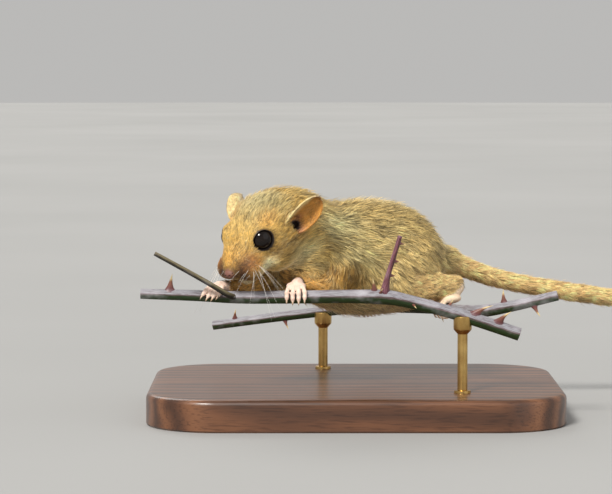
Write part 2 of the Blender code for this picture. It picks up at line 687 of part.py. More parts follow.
def stand_rod(name, line, radii, x):
    """An upright rod with a small cup, from inside the base to just under a stem."""
    share = nearest_share(line, x)
    centre, _ = stem_point(line, share)
    at = share * (len(radii) - 1)
    radius = radii[min(int(round(at)), len(radii) - 1)]
    foot = BASE_THICK - STEM_ZERO.z - ROD_SINK
    cup = centre.z - radius - CUP_HEIGHT
    heights = ((foot, ROD_RADIUS), (cup, ROD_RADIUS), (cup + 0.6, CUP_RADIUS), (centre.z - 0.1, CUP_RADIUS))
    rings = []
    for z, r in heights:
        middle = Vector((centre.x, centre.y, z))
        rings.append(oval(middle, Vector((1, 0, 0)), Vector((0, 1, 0)), r, r, r, 16))
    made = object_from(name, skin_rings(rings))
    made.data.materials.append(rod_brass())
    return made


def finish_flesh(made, paint):
    made.data.materials.clear()
    made.data.materials.append(paint)
    for face in made.data.polygons:
        face.material_index = 0
    return made


def head_cell(rest, keep_rest):
    """The head, cut off behind the skull and under the throat."""
    centre = on_head((HEAD_CELL_BACK - HEAD_CELL_FRONT) / 2, 0, (HEAD_CELL_ABOVE - HEAD_CELL_BELOW) / 2)
    long_half = (HEAD_CELL_BACK + HEAD_CELL_FRONT) / 2
    high_half = (HEAD_CELL_ABOVE + HEAD_CELL_BELOW) / 2
    half_sizes = (long_half, HEAD_CELL_SIDE, high_half)
    return part_off("head", rest, centre, (HEAD_BACK, HEAD_LEFT, HEAD_UP), half_sizes, keep_rest)


def build_head():
    """The head with its lids, mouth line, lips and nostrils."""
    whole = moulded("head_whole", [*head_forms(), neck_form(), *torso_forms()], HEAD_VOXEL, 14)
    head = head_cell(whole, keep_rest=False)
    discard(whole)
    thin_to(head, HEAD_TRIANGLES)
    union_all(head, [lid_shell(side) for side in (1, -1)])
    for side in (1, -1):
        centre = on_head(EYE_BACK, EYE_SIDE * side, EYE_UP)
        boolean(head, ball("socket", centre, (EYE_RADIUS + GAP,) * 3, None, 18, 12), "DIFFERENCE")
        boolean(head, lid_opening(side), "DIFFERENCE")
    for cutter in (mouth_cutter(), lip_cleft_cutter(), *nostril_cutters()):
        boolean(head, cutter, "DIFFERENCE")
    return finish_flesh(largest_surface(head), golden_fur())


def cut_cells(rest, cells):
    """The named pieces of rest that these cells hold."""
    pieces = []
    for name, start, end, half_side, half_up in cells:
        start, end = Vector(start), Vector(end)
        ahead = (end - start).normalized()
        side = ahead.cross(Vector((0, 0, 1))).normalized()
        half_sizes = ((end - start).length / 2, half_side, half_up)
        piece = part_off(name, rest, (start + end) / 2, (ahead, side, side.cross(ahead)), half_sizes)
        pieces.append(finish_flesh(piece, golden_fur()))
    return pieces


def build_body():
    """Neck, torso, limbs and tail, moulded whole and parted along the cells."""
    tail = tube("tail_form", TAIL_LINE, TAIL_RADII, 20, 4)
    forms = [*head_forms(), neck_form(), *torso_forms(), *limb_forms(), tail]
    rest = moulded("torso", forms, BODY_VOXEL, 10)
    thin_to(rest, BODY_TRIANGLES)
    pieces = cut_cells(rest, ARM_CELLS)
    discard(head_cell(rest, keep_rest=True))
    pieces += cut_cells(rest, BODY_CELLS)
    return [*pieces, finish_flesh(rest, golden_fur())]


def build_grip(name, neighbours, stem_line, grip_plan):
    """A hand or foot laid over its stem and cut clear of its neighbours."""
    forms, claws = grip(stem_line, *grip_plan)
    made = moulded(name, forms, GRIP_VOXEL, 4)
    thin_to(made, GRIP_TRIANGLES)
    union_all(made, claws)
    clear_of(made, *neighbours)
    return finish_flesh(made, bare_skin())


def main():
    for old in list(bpy.data.objects):
        bpy.data.objects.remove(old)
    front = stem("perch_stem_front", FRONT_STEM, FRONT_STEM_RADII, FRONT_THORNS, side_shoots())
    rear = stem("perch_stem_rear", REAR_STEM, REAR_STEM_RADII, REAR_THORNS)
    clear_of(rear, front)
    head = build_head()
    body = {piece.name: piece for piece in build_body()}
    for name in ("forearm_left", "arm_left", "forearm_right", "arm_right"):
        clear_of(body[name], head)
    for side, name, directions in ((1, "left", LEFT_EAR), (-1, "right", RIGHT_EAR)):
        clear_of(ear(side, "ear_" + name, *directions), head)
        eye(side, "eye_" + name)
    grips = (("hand_left", LEFT_HAND, FRONT_STEM), ("hand_right", RIGHT_HAND, FRONT_STEM),
             ("foot_left", LEFT_FOOT, REAR_STEM), ("foot_right", RIGHT_FOOT, REAR_STEM))
    for name, (limb, *plan), stem_line in grips:
        build_grip(name, (body[limb], body["torso"], front, rear), stem_line, plan)
    for piece in (head, *body.values()):
        for part in (front, rear):
            boolean(piece, swollen(part, GAP), "DIFFERENCE")
        largest_surface(piece)
    rods = (clear_of(stand_rod("stand_rod_front", FRONT_STEM, FRONT_STEM_RADII, FRONT_ROD_X), front),
            clear_of(stand_rod("stand_rod_rear", REAR_STEM, REAR_STEM_RADII, REAR_ROD_X), rear))
    clear_of(stand_base(), *rods)


main()
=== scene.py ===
import math
import bmesh
import bpy
import numpy as np
from mathutils import Matrix, Vector
from mathutils.bvhtree import BVHTree
from mathutils.kdtree import KDTree


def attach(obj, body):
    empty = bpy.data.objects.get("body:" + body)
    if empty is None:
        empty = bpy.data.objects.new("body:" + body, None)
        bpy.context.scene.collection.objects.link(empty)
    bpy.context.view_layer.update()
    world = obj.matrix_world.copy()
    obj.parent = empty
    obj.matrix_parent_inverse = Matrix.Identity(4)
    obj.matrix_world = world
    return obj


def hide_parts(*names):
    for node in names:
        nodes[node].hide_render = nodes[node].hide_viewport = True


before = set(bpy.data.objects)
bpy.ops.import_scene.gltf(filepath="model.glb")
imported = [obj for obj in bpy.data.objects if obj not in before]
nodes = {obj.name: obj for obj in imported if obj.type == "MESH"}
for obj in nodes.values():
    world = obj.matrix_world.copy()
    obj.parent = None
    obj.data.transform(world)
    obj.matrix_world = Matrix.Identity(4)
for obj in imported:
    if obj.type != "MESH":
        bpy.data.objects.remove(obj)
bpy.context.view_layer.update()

chance = np.random.default_rng(20)  # every random draw comes from here, in this order

# Lengths below are millimetres, counted from the middle of the front stem near the hands:
# X to the right, Y away from the camera, Z up.
perchZero = np.array((-11.0, -22.0, 28.0))


def toRow(points):
    return (np.asarray(points, float) + perchZero) * 0.001


def fromRow(points):
    return np.asarray(points, float) * 1000 - perchZero


def unit(vectors):
    return vectors / np.maximum(np.linalg.norm(vectors, axis=-1, keepdims=True), 1e-9)


def placed(name, data):
    made = bpy.data.objects.new(name, data)
    bpy.context.scene.collection.objects.link(made)
    return made


# camera and light

cameraPlan = {"aim": (0.0, 0.0, 10.9), "distance": 600.0, "elevation": 4.0, "lens": 162.35, "sensor": 36.0,
              "nearest": 0.01}

elevation = math.radians(cameraPlan["elevation"])
camera = placed("camera", bpy.data.cameras.new("camera"))
camera.data.sensor_width = cameraPlan["sensor"]
camera.data.lens = cameraPlan["lens"]
camera.data.clip_start = cameraPlan["nearest"]
aim = Vector(toRow(cameraPlan["aim"]))
towardCamera = Vector((0.0, -math.cos(elevation), math.sin(elevation)))
camera.location = aim + towardCamera * cameraPlan["distance"] * 0.001
camera.rotation_euler = towardCamera.to_track_quat("Z", "Y").to_euler()
bpy.context.scene.camera = camera

# name: the way to it from the aim, how wide its light spreads in degrees, its strength and its tint
lampPlan = {
    "keySun": ((-0.32, -0.62, 0.62), 14.0, 3.5, (1.0, 0.97, 0.92)),
    "fillSun": ((0.75, -0.55, 0.40), 60.0, 0.5, (0.96, 0.98, 1.0)),
    "backSun": ((-0.30, 0.70, 0.65), 30.0, 0.7, (1.0, 0.99, 0.96)),
}
for name, (way, wide, strength, tint) in lampPlan.items():
    lamp = bpy.data.lights.new(name, "SUN")
    lamp.angle = math.radians(wide)
    lamp.energy = strength
    lamp.color = tint
    holder = placed(name, lamp)
    holder.location = aim + Vector(way)
    holder.rotation_euler = Vector(way).to_track_quat("Z", "Y").to_euler()

skyPlan = {"colour": (0.95, 0.94, 0.92, 1.0), "strength": 0.52}
sky = bpy.data.worlds.new("paleRoom")
sky.use_nodes = True
skyInputs = sky.node_tree.nodes["Background"].inputs
skyInputs["Color"].default_value = skyPlan["colour"]
skyInputs["Strength"].default_value = skyPlan["strength"]
bpy.context.scene.view_settings.view_transform = "Standard"
bpy.context.scene.world = sky
print("camera and lamps are up")


# materials

def colour(red, green, blue):
    # screen values from 0 to 255, made linear
    shares = np.array((red, green, blue)) / 255
    return np.where(shares < 0.04045, shares / 12.92, ((shares + 0.055) / 1.055) ** 2.4)


def addNode(tree, kind, wired, **settings):
    # wired: a socket or a value for each of the node's inputs that is named
    made = tree.nodes.new(kind)
    for name, value in settings.items():
        setattr(made, name, value)
    for name, value in wired.items():
        if isinstance(value, bpy.types.NodeSocket):
            tree.links.new(value, made.inputs[name])
        else:
            made.inputs[name].default_value = value
    return made.outputs[0]


def addMath(tree, operation, *values):
    return addNode(tree, "ShaderNodeMath", dict(enumerate(values)), operation=operation)


def newMaterial(name, roughness, **fixed):
    made = bpy.data.materials.new(name)
    made.use_nodes = True
    shader = made.node_tree.nodes["Principled BSDF"]
    shader.inputs["Roughness"].default_value = roughness
    for socket, value in fixed.items():
        shader.inputs[socket.replace("_", " ")].default_value = value
    return made, made.node_tree, shader


def noiseFrom(tree, vector, scale, detail=3.0):
    return addNode(tree, "ShaderNodeTexNoise", {"Vector": vector, "Scale": scale, "Detail": detail,
                                                "Roughness": 0.55})


def rampFrom(tree, value, stops):
    made = addNode(tree, "ShaderNodeValToRGB", {"Fac": value})
    ramp = made.node.color_ramp
    while len(ramp.elements) < len(stops):
        ramp.elements.new(0.5)
    for element, (place, shade) in zip(ramp.elements, stops):
        element.position = place
        element.color = (*shade, 1.0)
    return made


def mixFrom(tree, share, first, second, blend="MIX"):
    first, second = (v if isinstance(v, bpy.types.NodeSocket) else (*v, 1.0) for v in (first, second))
    made = addNode(tree, "ShaderNodeMix", {0: share, 6: first, 7: second}, data_type="RGBA", blend_type=blend)
    return made.node.outputs[2]


def bumpFrom(tree, shader, height, strength, distance):
    made = addNode(tree, "ShaderNodeBump", {"Height": height, "Strength": strength, "Distance": distance})
    tree.links.new(made, shader.inputs["Normal"])


def attributeFrom(tree, name, output="Color"):
    return addNode(tree, "ShaderNodeAttribute", {}, attribute_name=name).node.outputs[output]


def objectCoords(tree, scale=(1, 1, 1)):
    source = tree.nodes.new("ShaderNodeTexCoord").outputs["Object"]
    return addNode(tree, "ShaderNodeMapping", {"Vector": source, "Scale": scale})


def cloudsFrom(tree, scale, detail, *stops):
    # a colour that follows a noise through the piece
    return rampFrom(tree, noiseFrom(tree, objectCoords(tree), scale, detail), stops)


def colourBy(tree, shader, body, *shades):
    # the body's colour, multiplied by each shade
    for shade in shades:
        body = mixFrom(tree, 1.0, body, shade, "MULTIPLY")
    tree.links.new(body, shader.inputs["Base Color"])


# scales count the noise's waves to the metre
skinLook = {"roughness": 0.6, "glow": 0.08, "mottle": 900.0, "mottleDark": (0.78, 0.74, 0.72),
            "grain": 5200.0, "grainDepth": 0.00012}
coatLook = {"roughness": 0.62, "sheen": 0.12, "flecks": 2600.0, "fleckDark": (0.84, 0.82, 0.80),
            "fleckLight": (1.06, 1.06, 1.06)}


def skinMaterial():
    made, tree, shader = newMaterial(
        "dormouseSkin", skinLook["roughness"], Subsurface_Weight=skinLook["glow"], Subsurface_Scale=0.0004,
        Subsurface_Radius=(1.0, 0.4, 0.25))
    shade = cloudsFrom(tree, skinLook["mottle"], 4.0, (0.3, skinLook["mottleDark"]), (0.7, (1, 1, 1)))
    colourBy(tree, shader, attributeFrom(tree, "tint"), shade)
    fine = noiseFrom(tree, objectCoords(tree), skinLook["grain"])
    bumpFrom(tree, shader, fine, 0.35, skinLook["grainDepth"])
    return made


def coatMaterial(name):
    made, tree, shader = newMaterial(name, coatLook["roughness"], Sheen_Weight=coatLook["sheen"],
                                     Sheen_Roughness=0.4)
    shade = cloudsFrom(tree, coatLook["flecks"], 2.0, (0.3, coatLook["fleckDark"]),
                       (0.7, coatLook["fleckLight"]))
    colourBy(tree, shader, attributeFrom(tree, "tint"), shade)
    return made


# mesh helpers

def newObject(name, points, faces):
    mesh = bpy.data.meshes.new(name)
    mesh.from_pydata(toRow(points).tolist(), [], faces)
    return faceOutwards(placed(name, mesh))


def faceOutwards(made):
    bm = bmesh.new()
    bm.from_mesh(made.data)
    bmesh.ops.recalc_face_normals(bm, faces=bm.faces)
    bm.to_mesh(made.data)
    bm.free()
    return made


def discard(made):
    bpy.data.objects.remove(made, do_unlink=True)


def settle(made):
    # the modifiers become plain mesh
    bpy.context.view_layer.update()
    mesh = bpy.data.meshes.new_from_object(made.evaluated_get(bpy.context.evaluated_depsgraph_get()))
    made.modifiers.clear()
    made.data = mesh
    return made


def smoothLine(rows, steps):
    rows = np.asarray(rows, float)
    rows = np.vstack((2 * rows[0] - rows[1], rows, 2 * rows[-1] - rows[-2]))
    found = []
    for a, b, c, d in zip(rows, rows[1:], rows[2:], rows[3:]):
        for t in np.arange(steps) / steps:
            found.append(0.5 * (2 * b + (c - a) * t + (2 * a - 5 * b + 4 * c - d) * t * t
                                + (3 * b - a - 3 * c + d) * t ** 3))
    return np.array([*found, rows[-2]])


def lofted(name, rings):
    # closed skin through rings of equal count, with a fan at each end
    rings = np.asarray(rings)
    rows, count = rings.shape[:2]
    points = [*rings.reshape(-1, 3), rings[0].mean(0), rings[-1].mean(0)]
    faces = []
    for i in range(rows - 1):
        for k in range(count):
            n = (k + 1) % count
            faces.append((i * count + k, i * count + n, (i + 1) * count + n, (i + 1) * count + k))
    last = (rows - 1) * count
    for k in range(count):
        n = (k + 1) % count
        faces.append((n, k, rows * count))
        faces.append((last + k, last + n, rows * count + 1))
    return newObject(name, points, faces)


def lineFrames(centres):
    ahead = unit(np.gradient(centres, axis=0))
    side = np.cross(ahead[0], (0.3, 0.2, 1.0))
    sides = []
    for way in ahead:
        side = unit(side - way * side.dot(way))
        sides.append(side)
    sides = np.array(sides)
    return ahead, sides, np.cross(ahead, sides)


def around(count, shift=0.0):
    return (np.arange(count) + shift) * math.tau / count


def tube(name, line, radii, sides=20, steps=6, roundEnds=True):
    rows = smoothLine(np.column_stack((line, radii)), steps)
    centres, widths = rows[:, :3], np.maximum(rows[:, 3], 0.01)
    ahead, side, up = lineFrames(centres)
    angles = around(sides)
    spots = [(i, 0.0, 1.0) for i in range(len(rows))]
    if roundEnds:
        dome = [(0.25, 0.97), (0.5, 0.87), (0.75, 0.66), (0.93, 0.37)]  # onward and out, as shares
        spots = ([(0, -s, c) for s, c in reversed(dome)] + spots + [(len(rows) - 1, s, c) for s, c in dome])
    rings = []
    for i, shift, share in spots:
        r = widths[i] * share
        middle = centres[i] + ahead[i] * widths[i] * shift
        rings.append(middle + np.outer(np.cos(angles) * r, side[i]) + np.outer(np.sin(angles) * r, up[i]))
    return lofted(name, rings)


def ball(name, centre, radii, axes=np.eye(3), across=40, along=24):
    bm = bmesh.new()
    bmesh.ops.create_uvsphere(bm, u_segments=across, v_segments=along, radius=1.0)
    shape = np.array([v.co for v in bm.verts]) @ (np.asarray(axes) * np.asarray(radii)[:, None]) + centre
    faces = [[v.index for v in f.verts] for f in bm.faces]
    bm.free()
    return newObject(name, shape, faces)


def cutBy(made, other, operation="DIFFERENCE"):
    modifier = made.modifiers.new("cut", "BOOLEAN")
    modifier.operation = operation
    modifier.solver = "MANIFOLD"
    modifier.object = other
    settle(made)
    discard(other)
    return made


def joined(name, forms):
    bm = bmesh.new()
    for form in forms:
        bm.from_mesh(form.data)
        discard(form)
    mesh = bpy.data.meshes.new(name)
    bm.to_mesh(mesh)
    bm.free()
    return placed(name, mesh)


def moulded(name, forms, voxel, rounds):
    made = joined(name, forms)
    remesh = made.modifiers.new("mould", "REMESH")
    remesh.mode = "VOXEL"
    remesh.voxel_size = voxel * 0.001
    soften = made.modifiers.new("soften", "SMOOTH")
    soften.factor = 0.5
    soften.iterations = rounds
    return settle(made)


def readRows(items, key, width, kind):
    flat = np.empty(len(items) * width, kind)
    items.foreach_get(key, flat)
    return flat.reshape(-1, width)


def readPoints(mesh):
    return fromRow(readRows(mesh.vertices, "co", 3, np.float32))


def writePoints(mesh, points):
    mesh.vertices.foreach_set("co", toRow(points).astype(np.float32).ravel())
    mesh.update()


def readNormals(mesh):
    return readRows(mesh.vertex_normals, "vector", 3, np.float32).astype(float)


def readEdges(mesh):
    return readRows(mesh.edges, "vertices", 2, np.int32)


def readTriangles(mesh):
    mesh.calc_loop_triangles()
    return readRows(mesh.loop_triangles, "vertices", 3, np.int32)


def spread(values, edges, rounds, share=0.5):
    # each value drifts towards its neighbours' mean
    values = np.array(values, float)
    count = np.maximum(np.bincount(edges.ravel(), minlength=len(values)), 1)[:, None]
    a, b = edges.T
    for _ in range(rounds):
        total = np.column_stack([np.bincount(a, v[b], len(v)) + np.bincount(b, v[a], len(v))
                                 for v in values.T])
        values += share * (total / count - values)
    return values


def addColours(mesh, name, colours):
    layer = mesh.color_attributes.new(name, "FLOAT_COLOR", "POINT")
    rgba = np.ones((len(mesh.vertices), 4), np.float32)
    rgba[:, :3] = np.clip(colours, 0, 1)
    layer.data.foreach_set("color", rgba.ravel())


def waves(points, size, seed):
    # a soft random field from about -1 to 1, with bumps of this size
    dice = np.random.default_rng(seed)
    ways = unit(dice.normal(size=(9, 3))) * (math.tau / size) * dice.uniform(0.6, 1.5, (9, 1))
    return np.sin(points @ ways.T + dice.uniform(0, math.tau, 9)).sum(1) / 3.2


def finishPiece(made, material, slotName, *stoodFor):
    made.data.materials.clear()
    made.data.materials.append(material)
    made.data.polygons.foreach_set("use_smooth", [True] * len(made.data.polygons))
    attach(made, "root")
    if stoodFor:
        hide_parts(*stoodFor)
    return made


# head axes and the face's own places

headPlan = {
    "noseTip": (-16.8, -4.9, 5.0),
    "turn": 41.0,  # degrees that the face turns from the camera
    "bow": 36.0,  # degrees that it is bowed
    "eye": (9.6, 4.0, 2.9),  # back from the nose tip, to the side, up
    "eyeRadius": 2.6,
    "gaze": (-0.5, 1.0, 0.16),  # the way it looks: back, to the side, up
    "lidThick": 0.36,
    "lidOpening": (2.32, 2.24),  # half length and half height of the open eye
    "lidShift": 0.06,  # of that opening, towards the nose
    "lidRim": 0.15,
}


def headAxes():
    turn, bow = math.radians(headPlan["turn"]), math.radians(headPlan["bow"])
    back = np.array((math.sin(turn) * math.cos(bow), math.cos(turn) * math.cos(bow), math.sin(bow)))
    left = np.array((math.cos(turn), -math.sin(turn), 0.0))
    return np.array((back, left, np.cross(left, back)))


axes = headAxes()
noseTip = np.array(headPlan["noseTip"])


def headCoords(points):
    return (points - noseTip) @ axes.T


def mirrored(place, side):
    return np.array(place) * (1, side, 1)


def onSide(place, side):
    # a place given for the left of the head, side 1, or its mirror, side -1
    return noseTip + mirrored(place, side) @ axes


def eyeCentre(side):
    return onSide(headPlan["eye"], side)


def eyeAxes(side):
    # forward along the eye's slit, up across it, and out along its gaze
    gaze = unit(mirrored(headPlan["gaze"], side) @ axes)
    forward = unit(-axes[0] - gaze * gaze.dot(-axes[0]))
    return np.array((forward, np.cross(gaze, forward), gaze))


# ears

earPlan = {
    "root": (15.9, 7.5, 1.0),
    "length": 9.0,
    "width": 6.1,
    "wall": 0.4,
    "cup": 2.1,
    "cupAtRoot": 1.15,  # share of the cup's depth there, and how much of that share is lost by the tip
    "cupLoss": 0.65,
    "lean": 0.8,  # of the tip, outwards
    "setBack": 0.85,
    "sunk": 1.6,
    "widest": 0.56,  # share of the length where it is broadest
    "narrowing": 0.95,  # towards its root
    "forward": 0.75,
    "rimCurl": 0.35,  # the rim rolls inwards
    "fold": 0.3,  # a ridge inside the cup
    "rows": 34,
    "columns": 30,
    "hole": (0.7, 0.1, 0.0),  # along the ear, across it and outwards
    "holeRadii": (1.1, 0.8, 1.0),
    "outside": colour(238, 216, 172),
    "hollow": colour(226, 158, 68),
    "rim": (colour(140, 84, 40), 0.5),  # colour and strength
    "frontEdge": (colour(240, 212, 146), 0.8),
    # marks in the hollow of the ear: along it, across it, size and colour
    "marks": ((2.6, 0.1, 0.9, colour(138, 76, 38)), (1.0, 2.0, 0.9, colour(226, 158, 116))),
    # for the left ear and the right: the way it rises and the way its cup opens, as shares back, out and up
    "ways": {1: ((0.76, 0.56, 0.32), (-0.6, 0.72, -0.15)), -1: ((0.87, 0.46, 0.17), (-0.5, 0.81, -0.1))},
}


def earAxes(side):
    # across the ear, out of its hollow, and up along it
    rise, opening = (unit(mirrored(way, side) @ axes) for way in earPlan["ways"][side])
    opening = unit(opening - rise * opening.dot(rise))
    return unit(np.cross(rise, opening)) * side, opening, rise


def earBend(t):
    # share of the cup's depth, and the lean outwards, at this share of the length
    return earPlan["cupAtRoot"] - earPlan["cupLoss"] * t, earPlan["lean"] * t * t


def inEar(points, normals, side):
    # from 0 outside to 1 on the hollow face of the ear
    across, opening, rise = earAxes(side)
    away = points - onSide(earPlan["root"], side)
    t = np.clip((away @ rise + earPlan["sunk"]) / (earPlan["length"] + earPlan["sunk"]), 0, 1)
    aside = away @ across + earPlan["forward"]
    deep, leant = earBend(t)
    cup = 0.22 * aside ** 2 * deep + leant - earPlan["setBack"] + earPlan["wall"]
    near = np.exp(-((away @ opening - cup) / 0.9) ** 4) * (away @ rise > -0.9) * (np.abs(aside) < 2.9)
    return near * np.clip(normals @ opening * 2.0, 0, 1) * (t < 0.995)


def earHole(side):
    # where the hollow of the ear goes into the head
    across, opening, rise = earAxes(side)
    return onSide(earPlan["root"], side) + np.array(earPlan["hole"]) @ (rise, across, opening)


def earHalfWidth(t):
    widest = earPlan["widest"]
    taper = (t - widest) / (1 - widest) if t > widest else (widest - t) / widest * earPlan["narrowing"]
    return 0.5 * earPlan["width"] * max(math.sqrt(max(0.0, 1 - taper ** 2)), 0.06)


def earLayer(side, lift):
    # points in rows up the ear: its back with lift 0, its hollow face with lift 1
    across, opening, rise = earAxes(side)
    root = onSide(earPlan["root"], side)
    rows = earPlan["rows"]
    s = np.linspace(-1, 1, earPlan["columns"] + 1)
    grid = []
    for i in range(rows + 1):
        t = 1 - (1 - i / rows) ** 1.5
        half = earHalfWidth(t)
        deep, leant = earBend(t)
        bend = earPlan["cup"] * s * s * (half / earPlan["width"] * 2) * deep + leant
        curl = earPlan["rimCurl"] * np.exp(-((1 - np.abs(s)) / 0.16) ** 2) * min(1.0, t * 3)
        fold = earPlan["fold"] * np.exp(-((s - 0.25) / 0.16) ** 2) * math.sin(math.pi * min(1, t * 1.25))
        thick = lift * (earPlan["wall"] * (1 - 0.3 * t) + fold) + curl
        along = (earPlan["length"] + earPlan["sunk"]) * t - earPlan["sunk"]
        grid.append(root + rise * along + np.outer(half * s - earPlan["forward"], across)
                    + np.outer(bend - earPlan["setBack"] + thick, opening))
    return np.array(grid)


def makeEar(side):
    rows, columns = earPlan["rows"], earPlan["columns"]
    layers = [earLayer(side, lift) for lift in (0.0, 1.0)]
    points = np.vstack([layer.reshape(-1, 3) for layer in layers])
    wide, block = columns + 1, (rows + 1) * (columns + 1)
    faces = []
    for layer in (0, block):
        for i in range(rows):
            for k in range(columns):
                a = layer + i * wide + k
                faces.append((a, a + 1, a + wide + 1, a + wide))
    rim = list(range(columns)) + [i * wide + columns for i in range(rows)]
    rim += [rows * wide + k for k in range(columns, 0, -1)] + [i * wide for i in range(rows, 0, -1)]
    for here, there in zip(rim, rim[1:] + rim[:1]):
        faces.append((here, there, there + block, here + block))
    made = newObject("earForm", points, faces)
    soften = made.modifiers.new("soften", "SMOOTH")
    soften.iterations = 2
    return settle(made)


# stems, which the hands hold too

frontStem = {
    "line": ((-36.0, 0.0, 0.7), (-24.0, 0.0, 0.3), (-14.0, 0.0, -0.1), (0.0, 0.0, 0.0), (10.0, 0.0, 0.1),
             (17.5, 0.0, -0.1), (22.0, 0.0, -0.9), (29.5, 0.0, -2.8), (36.0, 0.0, -4.7), (46.5, 0.0, -8.2)),
    "radii": (1.1, 1.2, 1.35, 1.42, 1.45, 1.6, 1.45, 1.35, 1.4, 1.4),
    # thorns: share of the way along, degrees up round the stem from the camera's side, length, and how far
    # the tip leans along the stem
    "thorns": ((0.057, 82, 3.4, 0.15), (0.512, 72, 2.8, -0.2), (0.53, 40, 1.9, 0.3), (0.69, -15, 1.9, 0.4),
               (0.80, 130, 2.2, 0.34), (0.89, 78, 4.4, 0.8), (0.948, 62, 3.8, 0.5)),
}
rearStem = {
    "line": ((-22.0, 52.5, -11.4), (-10.0, 50.5, -9.6), (4.0, 47.0, -7.6), (14.8, 40.4, -6.0),
             (23.5, 31.0, -5.2), (30.5, 21.5, -4.6), (35.5, 12.0, -4.1), (39.5, 6.4, -3.6),
             (45.5, 3.9, -2.3), (55.0, 2.4, 0.1)),
    "radii": (1.05, 1.1, 1.15, 1.2, 1.2, 1.2, 1.25, 1.35, 1.2, 1.1),
    "thorns": ((0.05, 70, 2.4, 0.34), (0.15, -80, 2.2, 0.34), (0.27, 110, 2.6, 0.34), (0.55, -100, 2.0, 0.34),
               (0.86, 85, 2.8, 0.2), (0.94, -75, 2.6, 0.34)),
}
shootPlan = {
    "line": ((17.0, -0.2, 0.2), (17.6, -0.8, 4.0), (18.9, -1.3, 8.4), (20.4, -1.6, 13.4)),
    "radii": (1.2, 0.62, 0.52, 0.48),
    "thorns": ((0.4, -130, 1.5, 0.2), (0.64, -112, 1.4, 0.2), (0.9, -102, 1.3, 0.2)),
}
twigPlan = {
    "line": ((-15.6, -0.6, 0.0), (-17.3, -3.3, 1.0), (-21.4, -4.6, 3.6), (-27.0, -5.2, 6.8),
             (-32.6, -5.6, 9.9)),
    "radii": (0.7, 0.62, 0.56, 0.52, 0.48),
}


def fineLine(line):
    return smoothLine(line, 12)


def stemPoint(line, share):
    rows = fineLine(line)
    at = share * (len(rows) - 1)
    i = min(int(at), len(rows) - 2)
    return rows[i] + (rows[i + 1] - rows[i]) * (at - i), unit(rows[i + 1] - rows[i])


def shareAtX(line, x):
    rows = fineLine(line)
    return np.abs(rows[:, 0] - x).argmin() / (len(rows) - 1)


def stemDirections(line, share):
    # the middle of the stem there, along it, up across it, and across it towards the camera
    centre, along = stemPoint(line, share)
    up = unit(np.array((0, 0, 1.0)) - along * along[2])
    out = np.cross(along, up)
    return centre, along, up, (-out if out[1] > 0 else out)


# hands and feet

# thick is the stem's radius, x where the palm lies, outward the way its digits point, spread how far the
# outer tips lie from the middle, lean how far all tips shift along the stem, reach how many degrees below
# the stem's middle they end, digit their radius, and palm the palm's own radii
hindPlan = {"stem": rearStem, "thick": 1.2, "digits": 5, "spread": 2.35, "lean": 0.0, "reach": 50,
            "digit": 0.5, "palm": (2.4, 2.8, 1.2)}
handPlans = {
    "leftHand": {"stem": frontStem, "thick": 1.41, "wrist": (-1.7, 3.1, 2.8), "x": -2.5, "digits": 4,
                 "outward": (0, -1, 0), "spread": 1.95, "lean": -0.1, "reach": 20, "digit": 0.5,
                 "palm": (2.15, 1.6, 0.9)},
    "rightHand": {"stem": frontStem, "thick": 1.3, "wrist": (-17.3, 2.2, 1.9), "x": -19.3, "digits": 4,
                  "outward": (0, -1, 0), "spread": 1.7, "lean": -1.6, "reach": 2, "digit": 0.47,
                  "palm": (1.95, 1.5, 0.8)},
    "leftFoot": {**hindPlan, "wrist": (34.2, 21.6, 0.2), "x": 31.6, "outward": (-0.88, -0.45, 0)},
    "rightFoot": {**hindPlan, "wrist": (18.0, 41.6, -0.6), "x": 14.4, "outward": (-0.63, -0.77, 0)},
}
gripPlan = {
    "gap": 0.12,  # between a digit and the stem
    "start": 96,  # degrees round the stem where the digits leave the palm
    "outerShorter": 14,  # degrees
    "knuckle": 0.42,  # rise of a digit's middle over the stem
    "wristShape": (0.6, 0.64, 0.58),  # radii as shares of the palm's
    "digitShape": (1.05, 1.1, 1.14, 0.94, 0.9, 1.04, 0.9, 0.98, 0.8),  # radii as shares of the digit's
    # along a claw: share of the digit's radius and a length added to it, shift towards the stem, and radius
    "claw": ((0.2, 0.0, -0.2, 0.2), (1, 0.1, -0.18, 0.18), (1, 0.4, -0.02, 0.11), (1, 0.7, 0.2, 0.025)),
    "voxel": 0.17,
}


